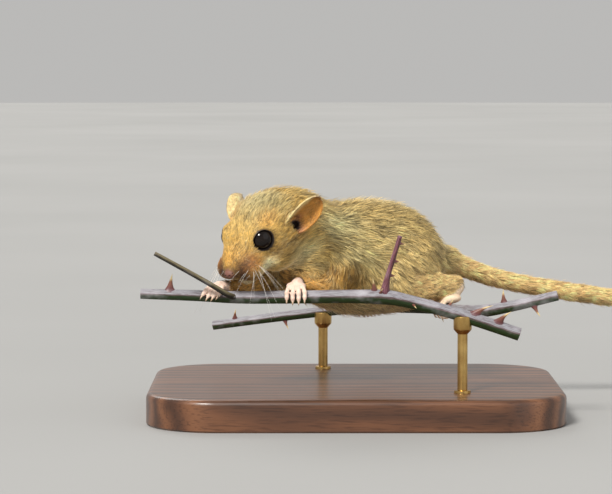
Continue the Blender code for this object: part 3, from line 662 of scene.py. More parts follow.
def makeGrip(plan):
    # a palm laid over the stem, with digits that curl down the side that faces outward
    line = plan["stem"]["line"]
    centre, along, up, out = stemDirections(line, shareAtX(line, plan["x"]))
    if out.dot(plan["outward"]) < 0:
        out = -out
    palm, digit = plan["palm"], plan["digit"]
    ring = plan["thick"] + gripPlan["gap"] + digit
    top = centre + up * (ring + palm[2] * 0.45) - out * (palm[1] * 0.35)
    wrist = np.array(plan["wrist"])
    forms = [ball("palm", top, palm, np.array((along, out, up)), 28, 18),
             tube("wrist", (wrist, wrist + (top - wrist) * 0.55, top),
                  [palm[0] * s for s in gripPlan["wristShape"]])]
    claws = []
    for k in range(plan["digits"]):
        place = k / (plan["digits"] - 1) * 2 - 1
        turn = plan["reach"] - gripPlan["outerShorter"] * abs(place) ** 1.5
        points = []
        for t in np.linspace(0, 1, len(gripPlan["digitShape"])):
            angle = math.radians(gripPlan["start"] - (gripPlan["start"] + turn) * t)
            shift = plan["spread"] * place * (0.62 + 0.38 * min(1, t * 1.6)) + plan["lean"] * t
            bulge = ring + gripPlan["knuckle"] * math.sin(math.pi * min(1, t * 1.35))
            points.append(centre + along * shift + (out * math.cos(angle) + up * math.sin(angle)) * bulge)
        forms.append(tube("digit", points, [digit * s for s in gripPlan["digitShape"]], 16, 4))
        tip, ahead = points[-1], unit(points[-1] - points[-2])
        inward = centre - tip
        inward = unit(inward - along * inward.dot(along))
        claw = [tip + ahead * (digit * share + far) + inward * shift
                for share, far, shift, _ in gripPlan["claw"]]
        claws.append(tube("claw", claw, [row[3] for row in gripPlan["claw"]], 10, 3, roundEnds=False))
    return moulded("grip", forms, gripPlan["voxel"], 3), claws


# the skin: one closed surface from nose to tail

# for each named part: the coat's depth over the skin, its hairs' length and width, tufts to the square mm,
# and the colour of its hair or, on hands and feet, of its skin
regionPlan = {
    "head": {"depth": 0.55, "length": 1.9, "width": 0.14, "density": 28.0, "shade": colour(210, 170, 90)},
    "neck": {"depth": 1.4, "length": 4.0, "width": 0.15, "density": 26.0, "shade": colour(194, 160, 88)},
    "torso": {"depth": 1.6, "length": 4.8, "width": 0.16, "density": 25.0, "shade": colour(212, 186, 122)},
    "arm": {"depth": 1.0, "length": 3.2, "width": 0.15, "density": 24.0, "shade": colour(168, 128, 58)},
    "forearm": {"depth": 0.5, "length": 1.9, "width": 0.12, "density": 30.0, "shade": colour(212, 160, 84)},
    "thigh": {"depth": 1.2, "length": 3.6, "width": 0.15, "density": 19.0, "shade": colour(212, 184, 120)},
    "shank": {"depth": 0.5, "length": 1.6, "width": 0.12, "density": 22.0, "shade": colour(234, 196, 130)},
    "tail": {"depth": 1.1, "length": 2.8, "width": 0.12, "density": 34.0, "shade": colour(250, 206, 138)},
    "ear": {"depth": 0.0, "length": 0.6, "width": 0.07, "density": 24.0, "shade": colour(212, 160, 84)},
    "hand": {"depth": 0.0, "length": 0.6, "width": 0.06, "density": 7.0, "shade": colour(250, 222, 204)},
    "foot": {"depth": 0.0, "length": 0.7, "width": 0.07, "density": 7.0, "shade": colour(246, 220, 190)},
}
# on the face, by the distance back from the nose tip
facePlan = {
    "depthAt": (0, 2, 6, 12, 18),
    "depth": (0.05, 0.2, 0.45, 0.7, 1.1),
    "hairAt": (0, 3, 8, 13, 19),
    "length": (0.5, 0.9, 1.5, 2.6, 3.6),
    "width": (0.08, 0.1, 0.11, 0.13, 0.15),
    "density": (62, 54, 44, 33, 27),
    "aroundEye": 4.2,  # how far from the middle of an eye the coat is thin
}
skinPlan = {
    "swell": 0.24,  # how far the solids grow, so that the cuts between them close
    "socketFill": 3.1,
    "voxel": 0.39,
    "smoothing": 22,  # rounds that even out the lumps between the solids
}
regionNames = list(regionPlan)
fleshNodes = [n for n in nodes if n.split("_")[0] in regionPlan]
fleshPoints, fleshFaces, fleshLabels = [], [], []
for n in fleshNodes:
    triangles = readTriangles(nodes[n].data) + len(fleshPoints)
    fleshPoints += readPoints(nodes[n].data).tolist()
    fleshFaces += triangles.tolist()
    fleshLabels += [regionNames.index(n.split("_")[0])] * len(triangles)
fleshTree = BVHTree.FromPolygons(fleshPoints, fleshFaces)
fleshLabels = np.array(fleshLabels)


def nearestLabels(points):
    return fleshLabels[[fleshTree.find_nearest(p)[2] for p in points.tolist()]]


def isRegion(labels, *names):
    return np.isin(labels, [regionNames.index(n) for n in names])


def byRegion(labels, key):
    return np.array([plan[key] for plan in regionPlan.values()])[labels]


def softened(mask, edges, rounds):
    return spread(mask[:, None].astype(float), edges, rounds)


def nearness(points, centre, reach, power):
    # from 1 at the centre to 0 well outside the reach
    return np.exp(-(np.linalg.norm(points - centre, axis=1) / reach) ** power)


def faceDepth(points, depth):
    # the coat thins out towards the nose and the eyes
    byNose = np.interp(headCoords(points)[:, 0], facePlan["depthAt"], facePlan["depth"])
    for side in (1, -1):
        byNose *= 1 - 0.85 * nearness(points, eyeCentre(side), facePlan["aroundEye"], 6)
    return np.minimum(byNose, np.maximum(depth, 0.05))


def swollenFlesh():
    bm = bmesh.new()
    for n in fleshNodes:
        if n.split("_")[0] not in ("ear", "hand", "foot"):
            bm.from_mesh(nodes[n].data)
    bmesh.ops.remove_doubles(bm, verts=bm.verts, dist=1e-6)
    bm.normal_update()
    for v in bm.verts:
        v.co += v.normal * skinPlan["swell"] * 0.001
    mesh = bpy.data.meshes.new("fleshForm")
    bm.to_mesh(mesh)
    bm.free()
    return placed("fleshForm", mesh)


def makeCore():
    # the flesh solids swollen until their cuts close, remeshed, smoothed and let in by the coat's depth
    fillers = [ball("socketFill", eyeCentre(side), (skinPlan["socketFill"],) * 3) for side in (1, -1)]
    core = moulded("dormouseSkin", [swollenFlesh(), *fillers], skinPlan["voxel"], 1)
    points, edges = readPoints(core.data), readEdges(core.data)
    labels = nearestLabels(points)
    onFace = softened(isRegion(labels, "head"), edges, 20)
    depths = spread(byRegion(labels, "depth")[:, None], edges, 30)[:, 0]
    firm = onFace[:, 0] * np.clip(1.3 - headCoords(points)[:, 0] / 14, 0.15, 1)  # the muzzle keeps its form
    ease = 0.5 * (1 - 0.85 * firm[:, None])
    for _ in range(skinPlan["smoothing"]):  # in and back out, so that it keeps its size
        points = spread(spread(points, edges, 1, ease), edges, 1, -1.03 * ease)
    points = spread(points, edges, 4, ease)
    writePoints(core.data, points)
    depths = depths * (1 - onFace[:, 0]) + faceDepth(points, depths + 0.4) * onFace[:, 0]
    points = points - readNormals(core.data) * (depths + skinPlan["swell"])[:, None]
    writePoints(core.data, spread(points, edges, 3, 0.4))
    return core


def lidTools(side):
    # the lids' shell, its rounded rim, and the two cutters that open them on the eyeball
    centre, frameOf = eyeCentre(side), eyeAxes(side)
    radius, shift = headPlan["eyeRadius"], headPlan["lidShift"]
    long, high = headPlan["lidOpening"]
    shell = ball("lidShell", centre, (radius + headPlan["lidThick"],) * 3, frameOf, 48, 32)
    reach = math.sqrt(radius ** 2 - high ** 2)
    steps, sides = 48, 12  # round the rim, and round its own thickness
    angles = np.linspace(0, math.tau, steps + 1)[:-1]
    ring = centre + np.column_stack((np.cos(angles) * (long + 0.02) + shift, np.sin(angles) * (high + 0.02),
                                     np.full(steps, reach + 0.18))) @ frameOf
    turn = np.linspace(0, math.tau, sides + 1)[:-1]
    rings = []
    for spot in ring:
        out = unit(spot - ring.mean(0))
        circle = np.outer(np.cos(turn), out) + np.outer(np.sin(turn), frameOf[2])
        rings.append(spot + headPlan["lidRim"] * circle)
    points = np.array(rings).reshape(-1, 3)
    faces = []
    for i in range(steps):
        here, there = i * sides, (i + 1) % steps * sides
        for k in range(sides):
            n = (k + 1) % sides
            faces.append((here + k, here + n, there + n, there + k))
    rim = newObject("lidRim", points, faces)
    opening = tube("lidOpening", (centre + frameOf[2] * (reach - 0.1), centre + frameOf[2] * 6.0),
                   (1.0, 1.0), 40, 1, roundEnds=False)
    flat = readPoints(opening.data) - centre
    flat = flat @ frameOf.T * (long, high, 1) + (shift, 0, 0)
    writePoints(opening.data, centre + flat @ frameOf)
    socket = ball("socket", centre, (radius + 0.03,) * 3, frameOf, 56, 36)
    return shell, rim, opening, socket


mouthPlan = {"corner": (7.4, 3.1, -3.9), "cheek": (5.2, 2.7, -3.95), "lip": (3.1, 1.6, -3.4),
             "middle": (2.2, 0.0, -2.9), "radii": (0.1, 0.36, 0.4, 0.36, 0.4, 0.36, 0.1)}
# places back, out and up on the head, and radii
nosePlan = {
    "pad": ((0.75, 0, 0.05), (1.05, 1.15, 0.95)),
    "wing": ((0.85, 0.62, 0.0), (0.95, 0.72, 0.78)),
    "cleft": ((0.1, 0, -0.55), (0.9, 0, -1.9), (2.0, 0, -2.9)),
    "cleftRadii": (0.14, 0.2, 0.22),
    "nostril": ((-0.4, 0.42, 0.0), (0.15, 0.6, 0.12), (0.6, 1.2, 0.42)),
    "nostrilRadii": (0.24, 0.27, 0.12),
    "voxel": 0.14,
}


def makeNose():
    place, radii = nosePlan["pad"]
    forms = [ball("nosePad", onSide(place, 1), radii, axes, 36, 24)]
    place, radii = nosePlan["wing"]
    forms += [ball("noseWing", onSide(place, side), radii, axes, 30, 20) for side in (1, -1)]
    return moulded("nose", forms, nosePlan["voxel"], 3)


def mouthLine():
    halves = [[onSide(mouthPlan[n], side) for n in ("corner", "cheek", "lip")] for side in (1, -1)]
    return [*halves[0], onSide(mouthPlan["middle"], 1), *halves[1][::-1]]


def mouthTools():
    made = [tube("mouth", mouthLine(), mouthPlan["radii"], 12, 5),
            tube("cleft", [onSide(place, 1) for place in nosePlan["cleft"]], nosePlan["cleftRadii"], 10, 5)]
    for side in (1, -1):
        line = [onSide(place, side) for place in nosePlan["nostril"]]
        made.append(tube("nostril", line, nosePlan["nostrilRadii"], 12, 5))
    return made


def makeSkin():
    skin = makeCore()
    print("core of the skin:", len(skin.data.vertices), "points")
    claws = {}
    additions = [makeEar(1), makeEar(-1)]
    for name, plan in handPlans.items():
        grip, claws[name] = makeGrip(plan)
        additions.append(grip)
    additions.append(makeNose())
    for made in additions:
        cutBy(skin, made, "UNION")
    for side in (1, -1):
        shell, rim, opening, socket = lidTools(side)
        cutBy(skin, shell, "UNION")
        cutBy(skin, opening)
        cutBy(skin, rim, "UNION")
        cutBy(skin, socket)
    for cutter in mouthTools():
        cutBy(skin, cutter)
    for side in (1, -1):
        across, opening, rise = earAxes(side)
        frameOf = np.array((rise, across, opening))
        cutBy(skin, ball("earHollow", earHole(side), earPlan["holeRadii"], frameOf, 30, 20))
    keepLargest(skin)
    return skin, claws


def keepLargest(made):
    # loose scraps left by the cuts go
    edges = readEdges(made.data)
    group = np.arange(len(made.data.vertices))
    while True:
        low = np.minimum(group[edges[:, 0]], group[edges[:, 1]])
        before = group.copy()
        np.minimum.at(group, edges[:, 0], low)
        np.minimum.at(group, edges[:, 1], low)
        group = group[group]
        if (before == group).all():
            break
    largest = np.bincount(group).argmax()
    bm = bmesh.new()
    bm.from_mesh(made.data)
    bm.verts.ensure_lookup_table()
    bmesh.ops.delete(bm, geom=[bm.verts[i] for i in np.flatnonzero(group != largest)], context="VERTS")
    bm.to_mesh(made.data)
    bm.free()


skin, clawForms = makeSkin()
print("skin:", len(skin.data.vertices), "points")


# markings with painted shade and painted highlight, shared by the skin and the coat

# marks on the head, some of them painted shade: place, back, to the left and up from the nose tip, radii the
# same way, colour, strength, and the sides that have it, 1 as given and -1 its mirror
headMarksAndPaintedShade = (
    ((2.4, 0.0, 2.4), (3.6, 1.8, 2.4), colour(226, 170, 80), 0.8, (1,)),
    ((3.5, 3.8, 0.3), (2.7, 2.8, 2.5), colour(158, 98, 42), 0.9, (1, -1)),
    # painted shade round the nose and mouth, in dark brown
    ((1.8, 2.4, -0.6), (2.5, 2.2, 2.5), colour(84, 48, 22), 1.0, (1, -1)),
    ((3.4, 3.4, -2.6), (2.6, 2.4, 1.5), colour(136, 94, 48), 0.9, (1, -1)),
    ((17.0, 0.0, 7.6), (7.5, 7.5, 3.2), colour(196, 184, 134), 0.85, (1,)),
    ((15.4, 5.0, 5.2), (2.8, 3.2, 2.4), colour(152, 140, 92), 0.6, (1,)),
    ((12.0, 4.9, 5.4), (2.4, 2.0, 1.5), colour(204, 150, 72), 0.6, (1, -1)),
    # painted shade at the front corner of each eye
    ((7.3, 4.6, 1.9), (1.0, 1.0, 0.8), colour(74, 48, 28), 0.9, (1, -1)),
    # brown under each eye: partly the cheek's own brown hair, partly painted shade under the eye
    ((9.6, 6.0, -0.6), (3.4, 2.8, 1.8), colour(136, 104, 50), 0.85, (1, -1)),
    ((5.9, 5.6, -1.9), (2.4, 2.2, 1.2), colour(255, 240, 188), 1.0, (1, -1)),
    ((15.0, 7.8, -1.2), (2.0, 2.6, 1.8), colour(212, 164, 84), 0.8, (1, -1)),
    ((12.4, 7.4, -3.0), (3.4, 2.8, 2.6), colour(146, 118, 62), 0.85, (1, -1)),
    ((15.5, 7.5, -6.0), (4.5, 4.0, 2.6), colour(226, 208, 142), 0.85, (1, -1)),
    ((10.5, 0.0, -6.5), (8.0, 6.0, 2.6), colour(252, 240, 200), 0.9, (1,)),
    ((3.0, 0.0, -3.9), (3.4, 2.8, 1.0), colour(240, 220, 176), 0.8, (1,)),
)
# marks on the body, some of them painted shade and painted highlight: place and radii along X, Y and Z,
# colour, strength
bodyMarksAndPaintedLight = (
    ((2.0, 12.0, 21.0), (9.0, 10.0, 4.0), colour(198, 170, 106), 0.75),
    ((12.0, 18.0, 17.0), (8.0, 8.0, 4.0), colour(190, 160, 98), 0.6),
    ((24.0, 24.0, 14.0), (7.0, 9.0, 8.0), colour(198, 168, 104), 0.6),
    # pale top of the rump: partly its paler fur, partly a painted highlight where the light falls on it
    ((15.0, 28.0, 21.5), (9.0, 8.0, 4.0), colour(246, 224, 176), 0.8),
    # cream behind the ear: partly its cream fur, partly a painted highlight on the hair's tips
    ((5.5, 5.5, 15.5), (5.5, 6.0, 3.6), colour(238, 228, 168), 0.75),
    # painted shade in the fold between the cheek and the shoulder
    ((2.2, 4.0, 10.3), (5.4, 5.4, 3.5), colour(130, 110, 58), 0.85),
    ((9.0, 8.0, 7.5), (5.0, 5.0, 3.0), colour(222, 212, 150), 0.6),
    # painted shade on the throat and chest under the chin
    ((-10.0, 4.5, 4.0), (6.0, 6.0, 4.5), colour(128, 102, 54), 0.8),
    ((10.0, 18.0, -6.5), (20.0, 16.0, 6.5), colour(236, 220, 172), 0.85),
)
barePlan = {
    "nose": (0.55, 0, 0.0),
    "noseRadius": 1.35,
    "lids": 3.35,  # reach from the middle of the eye
    "earHole": 1.3,
    "lips": 0.42,  # reach from the mouth's line
    "noseShade": colour(128, 84, 74),
    "lidShade": colour(34, 20, 16),
    # the ear's opening is painted near black as painted shade inside it
    "earHoleShadow": colour(40, 22, 14),
    "lipShade": colour(150, 92, 82),
    # the skin under the coat is darker, partly like the coat's own underfur and partly painted shade between
    # the hairs
    "underCoatAndShade": 0.5,  # the skin under the coat is this share of the coat's colour
}


def blended(base, shade, share):
    return base * (1 - share) + shade * share


def softSpot(place, centre, radii):
    return np.exp(-(((place - centre) / radii) ** 2).sum(1) ** 1.3)[:, None]


def earTint(points, normals, side):
    across, opening, rise = earAxes(side)
    away = points - onSide(earPlan["root"], side)
    inside = np.clip(normals @ opening * 1.6 + 0.3, 0, 1)[:, None]
    high = away @ rise / earPlan["length"]
    inner = earPlan["hollow"] * (1 - 0.2 * high[:, None])
    aside = away @ across + earPlan["forward"]
    for along, beside, size, shade in earPlan["marks"]:
        near = np.exp(-((away @ rise - along) ** 2 + (aside - beside) ** 2) / size ** 2)[:, None]
        inner = blended(inner, shade, 0.8 * near)
    edge = np.clip((high - 0.8) * 3.2, 0, 1)[:, None]
    front = np.clip((-(away @ across) - 1.5) / 0.8, 0, 1)[:, None] * (1 - edge)
    made = blended(earPlan["outside"], inner, inside)
    for key, share in (("frontEdge", front), ("rim", edge)):
        shade, strength = earPlan[key]
        made = blended(made, shade, strength * share)
    return made


def markAndShadeSkin(points, normals, edges, labels):
    # the coat's colour at each place, with its marks, painted shade and painted highlight, and the colour of
    # the skin on hands and feet
    base = byRegion(labels, "shade")
    made = spread(base, edges, 26)
    fixed = isRegion(labels, "ear", "hand", "foot")
    made[fixed] = spread(base, edges, 3)[fixed]
    place = headCoords(points)
    byHead = softened(isRegion(labels, "head"), edges, 14)
    for centre, radii, shade, strength, sides in headMarksAndPaintedShade:
        for side in sides:
            made = blended(made, shade, softSpot(place, mirrored(centre, side), radii) * strength * byHead)
    byBody = softened(isRegion(labels, "neck", "torso", "thigh"), edges, 20)
    for centre, radii, shade, strength in bodyMarksAndPaintedLight:
        made = blended(made, shade, softSpot(points, centre, radii) * strength * byBody)
    for side in (1, -1):
        near = (isRegion(labels, "ear") | (inEar(points, normals, side) > 0.4)) & (place[:, 1] * side > 0)
        made[near] = earTint(points[near], normals[near], side)
    return made


def bareParts(points, labels):
    # from 0 under the coat to 1 where no hair grows: nose, lid rims, mouth, hands and feet
    bare = isRegion(labels, "hand", "foot").astype(float)
    nose = nearness(points, onSide(barePlan["nose"], 1), barePlan["noseRadius"], 8)
    shades = np.where(nose[:, None] > 0.3, barePlan["noseShade"], byRegion(labels, "shade"))
    bare = np.maximum(bare, nose)
    for side in (1, -1):
        frameOf = eyeAxes(side)
        away = points - eyeCentre(side)
        far = np.linalg.norm(away, axis=1)
        radial = np.linalg.norm(away @ frameOf[:2].T, axis=1)
        lid = (far < barePlan["lids"]) & (radial < headPlan["lidOpening"][0] + 0.14) & (away @ frameOf[2] > 0)
        lid |= far < headPlan["eyeRadius"] + 0.1
        shades[lid] = barePlan["lidShade"]
        hole = np.linalg.norm(points - earHole(side), axis=1) < barePlan["earHole"]
        # painted shade in the ear's opening
        shades[hole] = barePlan["earHoleShadow"]
        bare[lid | hole] = 1.0
    line = smoothLine(mouthLine(), 8)
    low = np.flatnonzero(headCoords(points)[:, 0] < 9)
    lips = low[np.linalg.norm(points[low][:, None] - line[None], axis=2).min(1) < barePlan["lips"]]
    shades[lips] = barePlan["lipShade"]
    bare[lips] = 1.0
    return bare, shades


points, normals, edges = readPoints(skin.data), readNormals(skin.data), readEdges(skin.data)
labels = nearestLabels(points)
tints = markAndShadeSkin(points, normals, edges, labels)
bare, bareShades = bareParts(points, labels)
# partly underfur colour, partly painted shade between the hairs
underCoatAndShade = np.where(isRegion(labels, "ear")[:, None], tints, tints * barePlan["underCoatAndShade"])
addColours(skin.data, "tint", blended(underCoatAndShade, bareShades, bare[:, None]))
finishPiece(skin, skinMaterial(), "skin", *fleshNodes)
print("markings are on the skin")


# the lie of the coat

# the way the hair lies: along the body, down the thigh, and from point to point on each limb and the tail
flowPlan = {
    "body": (0.78, 0.625, 0.0),
    "thighTurn": (-0.2, -0.25, -0.9),
    "flankFall": 0.5,
    "tail": ((26.0, 33.0, 6.0), (43.0, 40.2, 1.2), (60.0, 44.0, -2.4), (86.0, 50.8, -5.0)),
    "arm": {1: ((7.0, 9.8, 8.0), (6.2, 6.4, 1.8)), -1: ((-5.0, 15.5, 7.0), (-9.6, 9.6, 3.2))},
    "forearm": {1: ((6.2, 6.4, 1.8), (-1.2, 3.8, 2.7)), -1: ((-9.6, 9.6, 3.2), (-16.8, 2.8, 1.9))},
    "shank": {1: ((18.6, 14.8, 2.0), (34.2, 22.8, 1.5)), -1: ((7.2, 29.2, 2.0), (18.2, 42.2, 1.2))},
    "foot": {1: ((34.2, 22.8, 1.5), (31.6, 19.5, -4.6)), -1: ((18.2, 42.2, 1.2), (14.4, 40.0, -6.0))},
    "hand": {1: ((-1.2, 3.8, 2.7), (-2.5, -1.5, 1.5)), -1: ((-16.8, 2.8, 1.9), (-19.3, -1.5, 1.5))},
}


def coatFlow(points, normals, labels, edges):
    way = np.array(flowPlan["body"])
    flow = np.tile(way, (len(points), 1))
    across = np.cross(way, (0, 0, 1.0))
    flow[:, 2] -= flowPlan["flankFall"] * np.abs(normals @ across)  # the flanks' hair falls back and down
    leftSide = (points - (6.0, 16.0, 0.0)) @ across > 0
    for n in ("arm", "forearm", "shank", "foot", "hand"):
        for side in (1, -1):
            start, end = np.array(flowPlan[n][side])
            flow[isRegion(labels, n) & (leftSide == (side > 0))] = unit(end - start)
    flow[isRegion(labels, "thigh")] = unit(way + flowPlan["thighTurn"])
    tailLine = smoothLine(flowPlan["tail"], 6)
    tail = isRegion(labels, "tail")
    nearest = np.abs(points[tail][:, None, 0] - tailLine[None, :, 0]).argmin(1)
    flow[tail] = unit(np.gradient(tailLine, axis=0))[nearest]
    head = isRegion(labels, "head")
    fromNose = unit(points[head] - onSide((-1.0, 0, -0.5), 1))
    headFlow = 0.7 * fromNose + 0.5 * axes[0]
    for side in (1, -1):  # hair parts round the eyes
        away = points[head] - eyeCentre(side)
        far = np.linalg.norm(away, axis=1)[:, None]
        headFlow += 0.55 * np.exp(-(far / facePlan["aroundEye"]) ** 4) * away / far
    flow[head] = unit(headFlow)
    for side in (1, -1):
        near = isRegion(labels, "ear") & (headCoords(points)[:, 1] * side > 0)
        flow[near] = earAxes(side)[2]
    flow = spread(flow, edges, 24)
    return unit(flow - normals * (flow * normals).sum(1, keepdims=True))


flow = coatFlow(points, normals, labels, edges)


# unwrap of the skin, where each tuft finds its patch of the baked picture

unwrapPlan = {"triangles": 12000, "angle": 72, "margin": 0.005}


def unwrapGuide():
    # a thinned copy of the skin, unwrapped: its points, its triangles and their places on the picture
    guide = placed("unwrapGuide", skin.data.copy())
    thin = guide.modifiers.new("thin", "DECIMATE")
    thin.ratio = unwrapPlan["triangles"] / len(readTriangles(skin.data))
    settle(guide)
    bpy.context.view_layer.objects.active = guide
    guide.select_set(True)
    bpy.ops.object.mode_set(mode="EDIT")
    bpy.ops.mesh.select_all(action="SELECT")
    bpy.ops.uv.smart_project(angle_limit=math.radians(unwrapPlan["angle"]),
                             island_margin=unwrapPlan["margin"])
    bpy.ops.object.mode_set(mode="OBJECT")
    mesh = guide.data
    corners = readTriangles(mesh)
    spots = readRows(mesh.uv_layers.active.data, "uv", 2, np.float32)
    made = readPoints(mesh), corners, spots[readRows(mesh.loop_triangles, "loops", 3, np.int32)]
    discard(guide)
    return made


guidePoints, guideCorners, guideSpots = unwrapGuide()
guideTree = BVHTree.FromPolygons(guidePoints.tolist(), guideCorners.tolist())


def unwrapSpots(points):
    found = [guideTree.find_nearest(p) for p in points.tolist()]
    faces = np.array([f[2] for f in found])
    at = np.array([f[0] for f in found])
    a, b, c = (guidePoints[guideCorners[faces, k]] for k in range(3))
    normal = np.cross(b - a, c - a)
    area = np.maximum((normal ** 2).sum(1), 1e-12)
    share0 = (np.cross(c - b, at - b) * normal).sum(1) / area
    share1 = (np.cross(a - c, at - c) * normal).sum(1) / area
    shares = np.column_stack((share0, share1, 1 - share0 - share1)).clip(0, 1)
    return (guideSpots[faces] * shares[:, :, None]).sum(1)


# the coat: thin closed tufts rooted in the skin

coatPlan = {
    "sunk": 0.12,  # how deep a root sits in the skin
    "flat": 0.45,  # a tuft's thickness as a share of its width
    "bakePatch": 0.003,  # side of a tuft's patch on the picture
    "pieceTufts": 19000,  # most tufts in a piece
    "lengths": (0.72, 1.18),  # shortest and longest, as shares of the place's own
    "swirls": ((0.34, 5.0, 1), (0.22, 1.6, 2)),  # sideways waves in the lie: strength, size and seed
    "swirlShare": (0.4, 0.85),  # of those waves, on the head and elsewhere
    "unruly": 0.13,  # sideways turn of a single tuft, in radians
    "heights": (0.84, 0.14),  # mean and spread, as shares of the coat's depth
    "headLocks": 0.55,  # how far tips close up there, as a share of that elsewhere
    "darkTips": 0.2,  # share of tufts with dark guard tips on the back and crown
    "lockSize": 9,  # tufts in a lock
    "lockPull": 0.6,  # how far their tips close up
    "strays": 0.07,  # share of tufts that stand out of the coat
    "tailStrays": 0.02,
    "strayRise": 1.5,
    "tailEnd": 86.4,  # X of the tail's tip, towards which its hair shortens
    "roundness": 0.55,  # how far the shading rounds each tuft over the lie of the skin
    "nearEye": (0.45, 0.3),  # how much shorter and denser the hair is by an eye
    "inEar": (0.55, 0.07, 0.1, 22.0),  # length, width, depth and density on the hollow face of the ear
    # how uneven its lightness is, on the head and elsewhere: by the tuft, by the lock and in waves
    "uneven": {"tuft": (0.2, 0.14), "lock": (0.12, 0.25), "broad": (0.1, 0.17), "fine": (0.1, 0.18)},
    "warmth": 0.035,
    "paleLocks": 0.3,  # share of the locks
    "paleShade": colour(244, 226, 170),
    # the darker roots are partly the hair's own darker base and partly painted shade deep in the coat
    "rootShade": (0.38, 0.44),  # the root's lightness, and what a pale tuft's root has more
}
skinCorners = readTriangles(skin.data)
skinTree = BVHTree.FromPolygons(points.tolist(), skinCorners.tolist())


def hairSizes():
    # length, width, depth and density at each point of the skin
    keys = ("length", "width", "depth", "density")
    sizes = spread(np.column_stack([byRegion(labels, key) for key in keys]), edges, 10)
    head = softened(isRegion(labels, "head"), edges, 8)[:, 0]
    back = headCoords(points)[:, 0]
    for column, key in enumerate(keys):
        if key == "depth":
            face = faceDepth(points, np.full(len(points), 1.4))
        else:
            face = np.interp(back, facePlan["hairAt"], facePlan[key])
        sizes[:, column] = blended(sizes[:, column], face, head)
    shorter, denser = coatPlan["nearEye"]
    for side in (1, -1):
        near = nearness(points, eyeCentre(side), 4.0, 6)
        sizes[:, 0] *= 1 - shorter * near
        sizes[:, 3] *= 1 + denser * near
        sizes[:, 0] *= 1 - 0.6 * nearness(points, earHole(side), 2.6, 4)
        sizes = blended(sizes, np.array(coatPlan["inEar"]), inEar(points, normals, side)[:, None])
    sizes[:, 2] = np.maximum(sizes[:, 2], 0.12)
    sizes[:, 3] *= bare < 0.25
    return sizes


sizes = hairSizes()


def sowRoots():
    # evenly spread over the skin's area times its density
    a, b, c = (points[skinCorners[:, k]] for k in range(3))
    area = 0.5 * np.linalg.norm(np.cross(b - a, c - a), axis=1)
    weight = np.cumsum(area * sizes[skinCorners, 3].mean(1) * (sizes[skinCorners, 3].min(1) > 0))
    total = int(weight[-1])
    marks = (np.arange(total) + chance.uniform(0, 1, total)) * (weight[-1] / total)
    faces = np.minimum(np.searchsorted(weight, marks), len(weight) - 1)
    u, v = chance.uniform(0, 1, (2, total))
    over = u + v > 1
    u[over], v[over] = 1 - u[over], 1 - v[over]
    return faces, np.column_stack((1 - u - v, u, v))


rootFaces, rootShares = sowRoots()


def atRoots(values):
    return (values[skinCorners[rootFaces]] * rootShares[:, :, None]).sum(1)


def ontoCoat(tips, ways, heights):
    # brings each point to its height over the nearest skin, unless that skin belongs to another part
    made = tips.copy()
    for i, tip in enumerate(tips.tolist()):
        at, normal, _, far = skinTree.find_nearest(tip)
        if far < heights[i] + 1.4 and normal.dot(Vector(ways[i])) > 0.45:
            made[i] = np.array(at) + np.array(normal) * heights[i]
    return made


def combTufts():
    root, normal, lie = atRoots(points), unit(atRoots(normals)), atRoots(flow)
    size = atRoots(sizes)
    label = labels[skinCorners[rootFaces, 0]]
    count = len(root)
    onHeadSkin, onTail = isRegion(label, "head"), isRegion(label, "tail")
    side = unit(np.cross(normal, lie))
    bend = sum(strength * waves(root, broad, seed) for strength, broad, seed in coatPlan["swirls"])
    bend *= np.where(onHeadSkin, *coatPlan["swirlShare"])
    bend += chance.normal(0, coatPlan["unruly"], count)
    lie = unit(lie * np.cos(bend)[:, None] + side * np.sin(bend)[:, None])
    side = unit(np.cross(normal, lie))
    length = size[:, 0] * chance.uniform(*coatPlan["lengths"], count)
    length *= np.where(onTail, np.clip((coatPlan["tailEnd"] - root[:, 0]) / 4, 0.3, 1), 1)
    high = chance.normal(*coatPlan["heights"], count) + 0.1 * waves(root, 1.8, 3)
    high = size[:, 2] * np.clip(high, 0.4, 1.12)
    stray = chance.uniform(0, 1, count) < np.where(onTail, coatPlan["tailStrays"], coatPlan["strays"])
    high[stray] *= coatPlan["strayRise"]
    run = np.sqrt(np.maximum(length ** 2 - high ** 2, (0.35 * length) ** 2))
    middle = root + lie * (run * 0.42)[:, None] + normal * (high * 0.66)[:, None]
    tip = root + lie * run[:, None] + normal * high[:, None]
    lock, pull = lockTufts(root, run)
    pull = pull * np.where(onHeadSkin, coatPlan["headLocks"], 1)
    tip += (tip[lock] - tip) * pull[:, None]
    middle += (middle[lock] - middle) * pull[:, None] * 0.3
    return {"root": root, "normal": normal, "side": side, "middle": ontoCoat(middle, normal, high * 0.7),
            "tip": ontoCoat(tip, normal, high), "width": size[:, 1], "tint": atRoots(tints), "label": label,
            "lock": lock, "onHead": onHeadSkin}


def lockTufts(root, run):
    # neighbouring tufts lean together into locks; which one each follows, and how far
    leaders = np.flatnonzero(chance.uniform(0, 1, len(root)) < 1 / coatPlan["lockSize"])
    tree = KDTree(len(leaders))
    for k, i in enumerate(leaders.tolist()):
        tree.insert(root[i], k)
    tree.balance()
    found = [tree.find(p)[1:] for p in root.tolist()]
    lock = leaders[[f[0] for f in found]]
    near = np.array([f[1] for f in found]) < run * 0.4
    return lock, coatPlan["lockPull"] * near * chance.uniform(0.5, 1.1, len(root))


tufts = combTufts()
print("tufts:", len(tufts["root"]))


